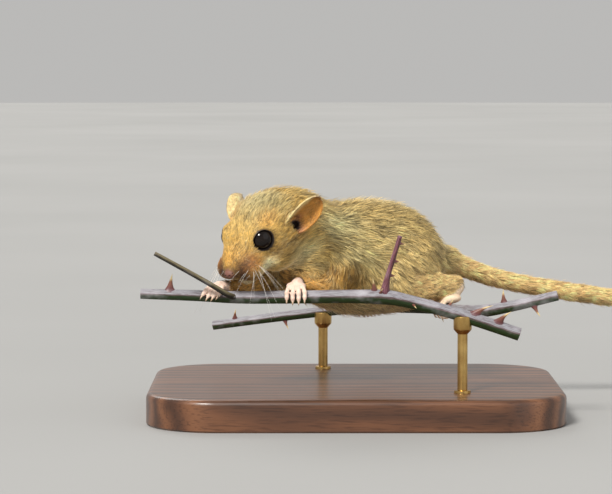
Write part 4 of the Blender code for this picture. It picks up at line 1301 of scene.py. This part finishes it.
def tuftShades():
    # root, middle and tip colour of each tuft
    root, label, tint, lock = (tufts[k] for k in ("root", "label", "tint", "lock"))
    count = len(root)
    uneven = {k: np.where(tufts["onHead"], *shares) for k, shares in coatPlan["uneven"].items()}
    ofLock = chance.normal(0, 1, count)[lock]
    light = 1 + uneven["tuft"] * chance.normal(0, 1, count).clip(-2, 2)
    light += uneven["lock"] * ofLock.clip(-2, 2)
    light += uneven["broad"] * waves(root, 3.5, 4) + uneven["fine"] * waves(root, 1.3, 5)
    light = np.maximum(light, 0.35)
    warm = coatPlan["warmth"] * chance.normal(0, 1, count)
    base = tint * light[:, None] * (1 + np.outer(warm, (1.0, 0.0, -1.6)))
    onTop = np.clip(tufts["normal"][:, 2] * 1.3 + 0.15, 0, 1)
    dark = chance.uniform(0, 1, count) < coatPlan["darkTips"] * (0.35 + onTop)
    dark &= isRegion(label, "neck", "torso", "thigh", "head") & (headCoords(root)[:, 0] > 8)
    pale = (chance.uniform(0, 1, count)[lock] < coatPlan["paleLocks"]) & ~dark & (tint[:, 0] > 0.3)
    tipShade = base * 1.12
    tipShade[pale] = blended(tipShade[pale], coatPlan["paleShade"], 0.4)
    tipShade[dark] = base[dark] * 0.35
    middleShade = base.copy()
    middleShade[dark] *= 0.8
    # roots darkened: partly the hair's own darker base, partly painted shade deep in the coat; pale tufts
    # keep paler roots
    dim, more = coatPlan["rootShade"]
    paleRoot = np.clip((tint.mean(axis=1) - 0.62) / 0.2, 0, 1)[:, None]
    return base * (dim + more * paleRoot), middleShade, tipShade


def tuftMesh(name, chosen, shades):
    # a tuft is a thin three-sided blade: three points at its root, three at its middle and one tip
    root, middle, tip = (tufts[k][chosen] for k in ("root", "middle", "tip"))
    normal, side = tufts["normal"][chosen], tufts["side"][chosen]
    half = 0.5 * tufts["width"][chosen][:, None]
    count = len(chosen)
    thick = half * 2 * coatPlan["flat"]
    low = root - normal * coatPlan["sunk"]
    profile = ((-1, 0), (1, 0), (0, 1))  # across and up
    points = np.empty((count, 7, 3))
    for k, (across, up) in enumerate(profile):
        points[:, k] = low + side * half * across * 0.8 + normal * thick * up
        points[:, 3 + k] = middle + side * half * across + normal * thick * up
    points[:, 6] = tip
    pattern = np.array(((0, 2, 1), (0, 1, 4), (0, 4, 3), (1, 2, 5), (1, 5, 4), (2, 0, 3), (2, 3, 5),
                        (3, 4, 6), (4, 5, 6), (5, 3, 6)))
    faces = (pattern[None] + (np.arange(count) * 7)[:, None, None]).reshape(-1, 3)
    mesh = bpy.data.meshes.new(name)
    mesh.vertices.add(count * 7)
    mesh.vertices.foreach_set("co", toRow(points.reshape(-1, 3)).astype(np.float32).ravel())
    mesh.loops.add(faces.size)
    mesh.loops.foreach_set("vertex_index", faces.ravel().astype(np.int32))
    mesh.polygons.add(len(faces))
    mesh.polygons.foreach_set("loop_start", np.arange(0, faces.size, 3, dtype=np.int32))
    mesh.update(calc_edges=True)
    colours = np.repeat(np.stack([s[chosen] for s in shades], 1), (3, 3, 1), axis=1)
    addColours(mesh, "tint", colours.reshape(-1, 3))
    patch = np.array(((-1, -1), (-1, 1), (-1, 0), (0, -1), (0, 1), (0, 0.2), (1, 0)))
    spots = (unwrapSpots(root)[:, None] + patch[None] * coatPlan["bakePatch"] / 2).reshape(-1, 2)
    layer = mesh.uv_layers.new(name="OFBake")
    layer.data.foreach_set("uv", spots[faces.ravel()].astype(np.float32).ravel())
    turns = np.array((-1, 1, 0, -1, 1, 0, 0))[None, :, None] * coatPlan["roundness"]
    rounded = unit((normal[:, None] + side[:, None] * turns).reshape(-1, 3))
    mesh.shade_smooth()
    mesh.normals_split_custom_set_from_vertices(rounded.tolist())
    return placed(name, mesh)


coatPieces = {
    "faceCoat": ("head",),
    "neckCoat": ("neck",),
    "bodyCoat": ("torso",),
    "legCoat": ("thigh", "shank", "foot"),
    "armCoat": ("arm", "forearm", "hand"),
    "tailCoat": ("tail",),
    "earCoat": ("ear",),
}
shades = tuftShades()
for name, members in coatPieces.items():
    chosen = np.flatnonzero(isRegion(tufts["label"], *members))
    chosen = chosen[np.argsort(tufts["root"][chosen] @ flowPlan["body"], kind="stable")]
    material = coatMaterial(name)
    parts = max(1, math.ceil(len(chosen) / coatPlan["pieceTufts"]))
    for k, part in enumerate(np.array_split(chosen, parts)):
        made = tuftMesh(name + ("ABCDEFGH"[k] if parts > 1 else ""), part, shades)
        finishPiece(made, material, "fur")
    print(name, len(chosen), "tufts in", parts, "pieces")


# eyes, whiskers and claws

eyeLook = {"roughness": 0.04, "shine": 0.24, "clouds": 500.0, "dark": (0.004, 0.003, 0.003),
           "light": (0.013, 0.008, 0.006), "bulge": 0.12}


def eyeMaterial():
    made, tree, shader = newMaterial("eyeGloss", eyeLook["roughness"], Specular_IOR_Level=eyeLook["shine"])
    depth = cloudsFrom(tree, eyeLook["clouds"], 2.0, (0.3, eyeLook["dark"]), (0.8, eyeLook["light"]))
    colourBy(tree, shader, depth)
    return made


def makeEye(side, name, node):
    centre, frameOf = eyeCentre(side), eyeAxes(side)
    made = ball(name, centre, (headPlan["eyeRadius"],) * 3, frameOf, 64, 40)
    shape = (readPoints(made.data) - centre) @ frameOf.T
    front = shape[:, 2] / headPlan["eyeRadius"]
    shape[:, 2] += eyeLook["bulge"] * np.clip((front - 0.6) / 0.4, 0, 1) ** 1.5  # the cornea
    writePoints(made.data, centre + shape @ frameOf)
    return finishPiece(made, eyeGloss, "eye", node)


eyeGloss = eyeMaterial()
makeEye(1, "leftEye", "eye_left")
makeEye(-1, "rightEye", "eye_right")

whiskerPlan = {
    "rows": 3,
    "perRow": 4,
    "start": (1.5, 0.5),  # of the first, back and up from the nose tip
    "step": (0.95, 0.85),  # back to the next one, and down to the next row
    "rowShift": 0.25,  # how much further back each row starts
    "jitter": 0.15,
    "longest": 13.0,
    "shortest": 4.5,
    "thick": 0.03,
    "fan": (-132, -34),  # degrees in the camera's plane, from the foremost to the rearmost
    "rowTurn": 6,  # degrees that each row hangs lower
    "waver": 10,  # degrees
    "forward": 0.5,
    "droop": 0.3,
    "rootShade": colour(150, 120, 90),
    "shade": colour(236, 232, 224),
}
clawLook = {"roughness": 0.3, "streaks": 1800.0, "dark": colour(196, 160, 130),
            "light": colour(232, 210, 186)}


def whiskerMaterial():
    made, tree, shader = newMaterial("whiskerWhite", 0.35)
    stops = [(0.0, whiskerPlan["rootShade"]), (0.12, whiskerPlan["shade"])]
    colourBy(tree, shader, rampFrom(tree, attributeFrom(tree, "along", "Fac"), stops))
    return made


def addValues(mesh, name, values):
    layer = mesh.attributes.new(name, "FLOAT", "POINT")
    layer.data.foreach_set("value", np.asarray(values, np.float32))


def makeWhiskers(side, name):
    # rows on the whisker pad, the longest at its back, sweeping out, back and down
    forms, shares = [], []
    start, step = whiskerPlan["start"], whiskerPlan["step"]
    short, long = whiskerPlan["shortest"], whiskerPlan["longest"]
    first, last = whiskerPlan["fan"]
    for row in range(whiskerPlan["rows"]):
        for k in range(whiskerPlan["perRow"]):
            jitter = [chance.normal(0, whiskerPlan["jitter"]) for _ in range(2)]
            back = start[0] + step[0] * k + whiskerPlan["rowShift"] * row + jitter[0]
            up = start[1] - step[1] * row + jitter[1]
            beside = onSide((back, 6.5, up), side)
            at, normal = skinTree.ray_cast(Vector(beside), Vector(-axes[1] * side))[:2]
            if at is None:
                continue
            at = np.array(at) - np.array(normal) * 0.15  # rooted in the skin
            share = k / (whiskerPlan["perRow"] - 1)
            reach = short + (long - short) * share ** 0.8
            reach *= chance.uniform(0.55, 1.05) * (1 - 0.08 * row)
            angle = first + (last - first) * share - whiskerPlan["rowTurn"] * row
            angle = math.radians(angle + chance.normal(0, whiskerPlan["waver"]))
            way = axes @ (math.cos(angle), -whiskerPlan["forward"] + chance.normal(0, 0.12), math.sin(angle))
            way = unit(way * (1, side, 1)) @ axes
            t = np.linspace(0, 1, 7)[:, None]
            drop = np.array((0, 0, -1.0)) * whiskerPlan["droop"]
            line = at + way * reach * t + drop * reach * t * t
            radii = whiskerPlan["thick"] * (1 - 0.8 * t[:, 0])
            form = tube("whisker", line, radii, 5, 2, roundEnds=False)
            forms.append(form)
            shares.append(np.linalg.norm(readPoints(form.data) - at, axis=1) / reach)
    made = joined(name, forms)
    addValues(made.data, "along", np.clip(np.concatenate(shares), 0, 1))
    return finishPiece(made, whiskerWhite, "fur")


whiskerWhite = whiskerMaterial()
makeWhiskers(1, "leftWhiskers")
makeWhiskers(-1, "rightWhiskers")


def clawMaterial():
    made, tree, shader = newMaterial("clawHorn", clawLook["roughness"])
    stops = (0.3, clawLook["dark"]), (0.7, clawLook["light"])
    colourBy(tree, shader, cloudsFrom(tree, clawLook["streaks"], 2.0, *stops))
    return made


clawHorn = clawMaterial()
for name, forms in clawForms.items():
    finishPiece(joined(name + "Claws", forms), clawHorn, "skin")
print("eyes, whiskers and claws are in")


# bramble stems, thorns, shoot and twig

# top, side and under: bark colours by how far it faces up, a painted highlight above and painted shade below,
# mixed on the brambles with their own bloom and green
barkPlan = {
    "brambleGreen": {"top": colour(146, 146, 152), "side": colour(104, 82, 84), "under": colour(36, 62, 22),
                     "bloom": 0.35, "roughness": 0.5},
    "bramblePurple": {"top": colour(150, 112, 124), "side": colour(116, 66, 76), "under": colour(84, 46, 50),
                      "bloom": 0.2, "roughness": 0.5},
    "deadTwig": {"top": colour(116, 108, 80), "side": colour(70, 62, 42), "under": colour(38, 36, 24),
                 "bloom": 0.15, "roughness": 0.8},
}
barkLook = {"streaks": 9.0, "patches": 180.0, "bumps": 0.00015, "bloomShade": colour(214, 208, 216)}
# ridges along a stem: how many there are round it, their height as a share of its radius, and their turn
ridges = ((5, 0.045, 0.4), (9, 0.02, 1.7), (2, 0.02, 0.9))
thornPlan = {
    "around": 14,
    "steps": 13,
    "foot": 0.8,
    "footStretch": 1.0,
    "wide": 2.6,  # a thorn's length over the size of its foot
    "footAt": 0.45,  # how far from the stem's middle it starts, as a share of the stem's radius
    "tall": 1.08,  # square of its height over its length when it stands upright
    "taper": ((0.2, 0.525), (0.45, 0.31), (0.75, 0.175)),  # share of the length, share of the foot's width
    "tip": 0.025,
    "curve": 0.64,  # how much of its lean comes late
    "roughness": 0.42,
    "shades": ((0.0, colour(122, 104, 112)), (0.25, colour(104, 60, 60)), (0.6, colour(136, 88, 66)),
               (0.78, colour(226, 204, 150))),  # from its foot to its tip
}


def barkMaterial(name):
    # the side that faces up is painted pale and the side below dark: on the brambles partly their own bloom
    # and green and partly painted highlight and painted shade, on the dead twig painted highlight and painted
    # shade only; with fine lengthwise streaks
    plan = barkPlan[name]
    made, tree, shader = newMaterial(name, plan["roughness"])
    streak = noiseFrom(tree, attributeFrom(tree, "stemPlace", "Vector"), barkLook["streaks"], 5.0)
    blurred = addMath(tree, "MULTIPLY_ADD", streak, 0.5, attributeFrom(tree, "facingUp", "Fac"))
    # painted shade below, painted highlight above
    stops = [(0.5, plan["under"]), (0.66, plan["side"]), (0.86, plan["top"])]
    body = rampFrom(tree, blurred, stops)
    fleck = rampFrom(tree, streak, [(0.38, (0.5, 0.4, 0.42)), (0.56, (1, 1, 1))])
    dusted = mixFrom(tree, 1.0, body, fleck, "MULTIPLY")
    patch = cloudsFrom(tree, barkLook["patches"], 3.0, (0.5, (0, 0, 0)), (0.72, (plan["bloom"],) * 3))
    colourBy(tree, shader, mixFrom(tree, patch, dusted, barkLook["bloomShade"]))
    bumpFrom(tree, shader, streak, 0.4, barkLook["bumps"])
    return made


def thornMaterial():
    made, tree, shader = newMaterial("thornHorn", thornPlan["roughness"])
    body = rampFrom(tree, attributeFrom(tree, "along", "Fac"), thornPlan["shades"])
    shade = cloudsFrom(tree, 1500.0, 3.0, (0.3, (0.8, 0.78, 0.78)), (0.7, (1, 1, 1)))
    colourBy(tree, shader, body, shade)
    return made


def markStem(made, line):
    # where each point lies along and round the stem, and how far it faces up, for the bark's streaks and its
    # painted highlight and painted shade
    points, normals = readPoints(made.data), readNormals(made.data)
    rows = fineLine(line)
    side, up = lineFrames(rows)[1:]
    far = np.cumsum(np.r_[0, np.linalg.norm(np.diff(rows, axis=0), axis=1)])
    near = np.array([np.linalg.norm(rows - p, axis=1).argmin() for p in points])
    away = points - rows[near]
    layer = made.data.attributes.new("stemPlace", "FLOAT_VECTOR", "POINT")
    place = np.column_stack(((away * side[near]).sum(1) * 0.9, (away * up[near]).sum(1) * 0.9,
                             far[near] * 0.05))
    layer.data.foreach_set("vector", place.astype(np.float32).ravel())
    addValues(made.data, "facingUp", np.clip(0.42 + 0.5 * normals[:, 2], 0, 1))
    return made


def newTree(name, sizes):
    # a tree that takes geometry and sizes with names, and gives geometry
    made = bpy.data.node_groups.new(name, "GeometryNodeTree")
    made.interface.new_socket("Geometry", in_out="INPUT", socket_type="NodeSocketGeometry")
    made.interface.new_socket("Geometry", in_out="OUTPUT", socket_type="NodeSocketGeometry")
    for label, kind, value in sizes:
        socket = made.interface.new_socket(label, in_out="INPUT", socket_type="NodeSocket" + kind)
        socket.default_value = value
    return made, made.nodes.new("NodeGroupInput").outputs


def named(tree, name, kind="FLOAT"):
    return addNode(tree, "GeometryNodeInputNamedAttribute", {"Name": name}, data_type=kind)


def finishTree(tree, geometry, given):
    real = addNode(tree, "GeometryNodeRealizeInstances", {"Geometry": geometry})
    coated = addNode(tree, "GeometryNodeSetMaterial", {"Geometry": real, "Material": given["Material"]})
    tree.links.new(coated, tree.nodes.new("NodeGroupOutput").inputs[0])
    return tree


def wire(name, points, edges, **values):
    # points in a mesh with the values that a tree reads from them
    mesh = bpy.data.meshes.new(name)
    mesh.from_pydata(toRow(points).tolist(), edges, [])
    for label, rows in values.items():
        rows = np.asarray(rows, np.float32)
        kind = {1: "FLOAT", 3: "FLOAT_VECTOR", 4: "QUATERNION"}[rows[0].size]
        layer = mesh.attributes.new(label, kind, "POINT")
        layer.data.foreach_set("vector" if kind == "FLOAT_VECTOR" else "value", rows.ravel())
    return placed(name, mesh)


def grown(made, tree, sizes):
    # the tree's geometry as plain mesh
    modifier = made.modifiers.new("grow", "NODES")
    modifier.node_group = tree
    for socket in tree.interface.items_tree:
        if socket.in_out == "INPUT" and socket.name in sizes:
            modifier[socket.identifier] = sizes[socket.name]
    return faceOutwards(settle(made))


def makeStemTree():
    # a ridged ring swept along a path of points, each with its own radius
    tree, given = newTree("stemSweep", (("Sides", "Int", 28), ("Ridge Depth", "Float", 1.0),
                                        ("Material", "Material", None)))
    ring = addNode(tree, "GeometryNodeCurvePrimitiveCircle", {"Resolution": given["Sides"], "Radius": 1.0})
    index = addNode(tree, "GeometryNodeInputIndex", {})
    angle = addMath(tree, "DIVIDE", addMath(tree, "MULTIPLY", index, math.tau), given["Sides"])
    swell = 1.0
    for count, height, turn in ridges:
        wave = addMath(tree, "COSINE", addMath(tree, "MULTIPLY_ADD", angle, float(count), turn))
        high = addMath(tree, "MULTIPLY", given["Ridge Depth"], height)
        swell = addMath(tree, "MULTIPLY_ADD", wave, high, swell)
    place = addNode(tree, "GeometryNodeInputPosition", {})
    ridged = addNode(tree, "ShaderNodeVectorMath", {"Vector": place, "Scale": swell}, operation="SCALE")
    ring = addNode(tree, "GeometryNodeSetPosition", {"Geometry": ring, "Position": ridged})
    path = addNode(tree, "GeometryNodeMeshToCurve", {"Mesh": given["Geometry"]})
    swept = addNode(tree, "GeometryNodeCurveToMesh", {"Curve": path, "Profile Curve": ring, "Fill Caps": True,
                                                      "Scale": named(tree, "stemRadius")})
    return finishTree(tree, swept, given)


def makeThornTree():
    # one thorn, wide at its foot along the stem, put on each point, turned and sized there, then leant over
    tree, given = newTree("thornsAlong", (
        ("Around", "Int", thornPlan["around"]), ("Steps", "Int", thornPlan["steps"]),
        ("Foot", "Float", thornPlan["foot"]), ("Foot Stretch", "Float", thornPlan["footStretch"]),
        ("Material", "Material", None)))
    spine = addNode(tree, "GeometryNodeCurvePrimitiveLine", {"Start": (0, 0, 0), "End": (0, 0, 1)})
    spine = addNode(tree, "GeometryNodeResampleCurve", {"Curve": spine, "Count": given["Steps"]})
    spine = addNode(tree, "GeometryNodeStoreNamedAttribute", {
        "Geometry": spine, "Name": "along", "Value": addNode(tree, "GeometryNodeSplineParameter", {})})
    along = named(tree, "along")
    taper = addNode(tree, "ShaderNodeFloatCurve", {"Value": along})
    outline = taper.node.mapping.curves[0].points
    outline[0].location = (0.0, 1.0)
    outline[1].location = (1.0, thornPlan["tip"])
    for place, share in thornPlan["taper"]:
        outline.new(place, share)
    taper.node.mapping.update()
    ring = addNode(tree, "GeometryNodeCurvePrimitiveCircle", {"Resolution": given["Around"], "Radius": 1.0})
    wide = addMath(tree, "MULTIPLY", taper, given["Foot"])
    thorn = addNode(tree, "GeometryNodeCurveToMesh", {"Curve": spine, "Profile Curve": ring,
                                                      "Fill Caps": True, "Scale": wide})
    apart = addNode(tree, "ShaderNodeSeparateXYZ", {0: addNode(tree, "GeometryNodeInputPosition", {})})
    stretch = addMath(tree, "MULTIPLY", addMath(tree, "SUBTRACT", 1.0, along), given["Foot Stretch"])
    wider = addNode(tree, "ShaderNodeCombineXYZ", {"X": addMath(tree, "MULTIPLY", apart, stretch)})
    thorn = addNode(tree, "GeometryNodeSetPosition", {"Geometry": thorn, "Offset": wider})
    placed = addNode(tree, "GeometryNodeInstanceOnPoints", {
        "Points": given["Geometry"], "Instance": thorn, "Rotation": named(tree, "thornTurn", "QUATERNION"),
        "Scale": named(tree, "thornSize", "FLOAT_VECTOR")})
    real = addNode(tree, "GeometryNodeRealizeInstances", {"Geometry": placed})
    late = addMath(tree, "MULTIPLY_ADD", along, thornPlan["curve"], 1 - thornPlan["curve"])
    bend = addMath(tree, "MULTIPLY", along, late)
    lean = named(tree, "thornLean", "FLOAT_VECTOR")
    sweep = addNode(tree, "ShaderNodeVectorMath", {"Vector": lean, "Scale": bend}, operation="SCALE")
    real = addNode(tree, "GeometryNodeSetPosition", {"Geometry": real, "Offset": sweep})
    return finishTree(tree, real, given)


def makeStem(name, plan, bark, sides, *node):
    rows = smoothLine(np.column_stack((plan["line"], plan["radii"])), 10)
    edges = [(i, i + 1) for i in range(len(rows) - 1)]
    made = wire(name, rows[:, :3], edges, stemRadius=rows[:, 3] * 0.001)
    made = grown(made, stemTree, {"Sides": sides, "Ridge Depth": 1.0, "Material": bark})
    return finishPiece(markStem(made, plan["line"]), bark, "stem", *node)


def radiusAt(plan, share):
    return np.interp(share, np.linspace(0, 1, len(plan["radii"])), plan["radii"])


def makeThorns(name, plan):
    feet, turns, sizes, leans = [], [], [], []
    for share, turn, length, lean in plan["thorns"]:
        radius = radiusAt(plan, share)
        centre, along, up, toward = stemDirections(plan["line"], share)
        out = toward * math.cos(math.radians(turn)) + up * math.sin(math.radians(turn))
        feet.append(centre + out * (radius * thornPlan["footAt"]))
        turns.append(Matrix((along, np.cross(out, along), out)).transposed().to_quaternion())
        rise = radius * (1 - thornPlan["footAt"]) + length * math.sqrt(thornPlan["tall"] - lean ** 2)
        sizes.append(np.array((length / thornPlan["wide"], length / thornPlan["wide"], rise)) * 0.001)
        leans.append(along * (length * lean * 0.001))
    made = wire(name, feet, [], thornTurn=turns, thornSize=sizes, thornLean=leans)
    made = grown(made, thornTree, {"Foot": thornPlan["foot"], "Foot Stretch": thornPlan["footStretch"],
                                   "Material": thornHorn})
    return finishPiece(made, thornHorn, "stem")


thornHorn = thornMaterial()
greenBark, purpleBark, deadBark = (barkMaterial(name) for name in barkPlan)
stemTree, thornTree = makeStemTree(), makeThornTree()
makeStem("frontStem", frontStem, greenBark, 28, "perch_stem_front")
makeThorns("frontStemThorns", frontStem)
makeStem("rearStem", rearStem, greenBark, 28, "perch_stem_rear")
makeThorns("rearStemThorns", rearStem)
makeStem("thornShoot", shootPlan, purpleBark, 20)
makeThorns("shootThorns", shootPlan)
makeStem("deadTwig", twigPlan, deadBark, 18)
print("stems and thorns are in")


# display stand

standPlan = {
    "length": 92.0,
    "depth": 72.0,
    "thick": 7.0,
    "corner": 16.0,
    "edge": 1.2,
    "rod": 1.1,
    "cup": 2.0,
    "cupHeight": 2.2,
    "rodSunk": 2.6,  # in the base
    "frontRodX": 34.0,
    "rearRodX": 4.0,
    "wood": (colour(78, 48, 30), colour(104, 66, 42), colour(128, 84, 54)),  # from dark grain to light
    "brass": (colour(176, 140, 82), colour(212, 178, 112)),
}


def woodMaterial():
    made, tree, shader = newMaterial("walnutBase", 0.36, Coat_Weight=0.25, Coat_Roughness=0.2)
    place = objectCoords(tree, (8, 46, 46))
    warp = noiseFrom(tree, place, 1.6, 4.0)
    rings = {"Vector": place, "Scale": 1.5, "Distortion": 7.0, "Detail": 3.0}
    grain = addNode(tree, "ShaderNodeTexWave", rings, wave_type="RINGS").node.outputs["Fac"]
    pores = noiseFrom(tree, objectCoords(tree, (60, 900, 900)), 3.0, 3.0)
    body = rampFrom(tree, grain, list(zip((0.0, 0.5, 1.0), standPlan["wood"])))
    drift = rampFrom(tree, warp, [(0.3, (0.75, 0.72, 0.7)), (0.7, (1, 1, 1))])
    fleck = rampFrom(tree, pores, [(0.35, (0.62, 0.58, 0.55)), (0.5, (1, 1, 1))])
    colourBy(tree, shader, body, drift, fleck)
    bumpFrom(tree, shader, pores, 0.25, 0.0001)
    return made


def brassMaterial():
    made, tree, shader = newMaterial("rodBrass", 0.3, Metallic=1.0)
    tarnished, bright = standPlan["brass"]
    colourBy(tree, shader, cloudsFrom(tree, 260.0, 4.0, (0.35, tarnished), (0.7, bright)))
    brushed = noiseFrom(tree, objectCoords(tree, (900, 900, 60)), 4.0, 2.0)
    worn = rampFrom(tree, brushed, [(0.3, (0.24,) * 3), (0.7, (0.4,) * 3)])
    tree.links.new(worn, shader.inputs["Roughness"])
    return made


def makeBase():
    half = np.array((standPlan["length"], standPlan["depth"])) / 2
    angles = around(96, 0.5)
    circle = np.column_stack((np.cos(angles), np.sin(angles)))
    corner = (half - standPlan["corner"]) * np.sign(circle)
    edge, thick = standPlan["edge"], standPlan["thick"]
    # height and how far the outline is let in there
    profile = [(0.0, 0.4), (0.4, 0.0), (thick - edge, 0.0)]
    profile += [(thick - edge + edge * math.sin(a), edge - edge * math.cos(a))
                for a in np.radians((22, 45, 68))]
    profile += [(thick, edge), (thick, edge + 3.0)]
    rings = []
    for z, inset in profile:
        flat = corner + circle * (standPlan["corner"] - inset)
        rings.append(np.column_stack((flat, np.full(96, z))) - perchZero)
    return lofted("standBase", rings)


def makeRod(name, plan, x, node):
    # a rod with a collar on the base and a cup that holds the stem
    share = shareAtX(plan["line"], x)
    centre, along = stemPoint(plan["line"], share)
    radius = radiusAt(plan, share)
    foot = standPlan["thick"] - perchZero[2] - standPlan["rodSunk"]
    collar = foot + standPlan["rodSunk"]
    cup = centre[2] - radius - standPlan["cupHeight"]
    rod, wide = standPlan["rod"], standPlan["cup"]
    profile = [(foot, rod), (collar + 0.02, rod), (collar + 0.04, rod + 0.75), (collar + 0.55, rod + 0.7),
               (collar + 0.7, rod), (cup - 0.4, rod), (cup, rod + 0.35), (cup + 0.5, wide - 0.1),
               (cup + 0.8, wide), (centre[2] - 0.3, wide), (centre[2] - 0.1, wide - 0.15)]
    angles = around(40)
    rings = [np.column_stack((centre[0] + r * np.cos(angles), centre[1] + r * np.sin(angles), np.full(40, z)))
             for z, r in profile]
    made = lofted(name, rings)
    cutBy(made, tube("groove", (centre - along * 6, centre + along * 6), (radius * 1.02,) * 2, 28, 1,
                     roundEnds=False))
    finishPiece(made, rodBrass, "rod", node)
    made.data.set_sharp_from_angle(angle=math.radians(35))
    return made


base = finishPiece(makeBase(), woodMaterial(), "base", "stand_base")
base.data.set_sharp_from_angle(angle=math.radians(40))
rodBrass = brassMaterial()
makeRod("frontRod", frontStem, standPlan["frontRodX"], "stand_rod_front")
makeRod("rearRod", rearStem, standPlan["rearRodX"], "stand_rod_rear")


# floor

floorPlan = {"radius": 4000, "shades": (colour(158, 158, 157), colour(166, 166, 165)), "roughness": 0.8}


def floorMaterial():
    made, tree, shader = newMaterial("paleFloor", floorPlan["roughness"])
    low, high = floorPlan["shades"]
    colourBy(tree, shader, cloudsFrom(tree, 3.0, 3.0, (0.3, low), (0.7, high)))
    return made


angles = around(64)
ring = np.column_stack((np.cos(angles), np.sin(angles), np.zeros(64))) * floorPlan["radius"] - perchZero
ground = newObject("floor", [*ring], [tuple(range(64))])
ground.data.materials.append(floorMaterial())
if ground.data.polygons[0].normal.z < 0:
    ground.data.flip_normals()
print("stand and floor are in")
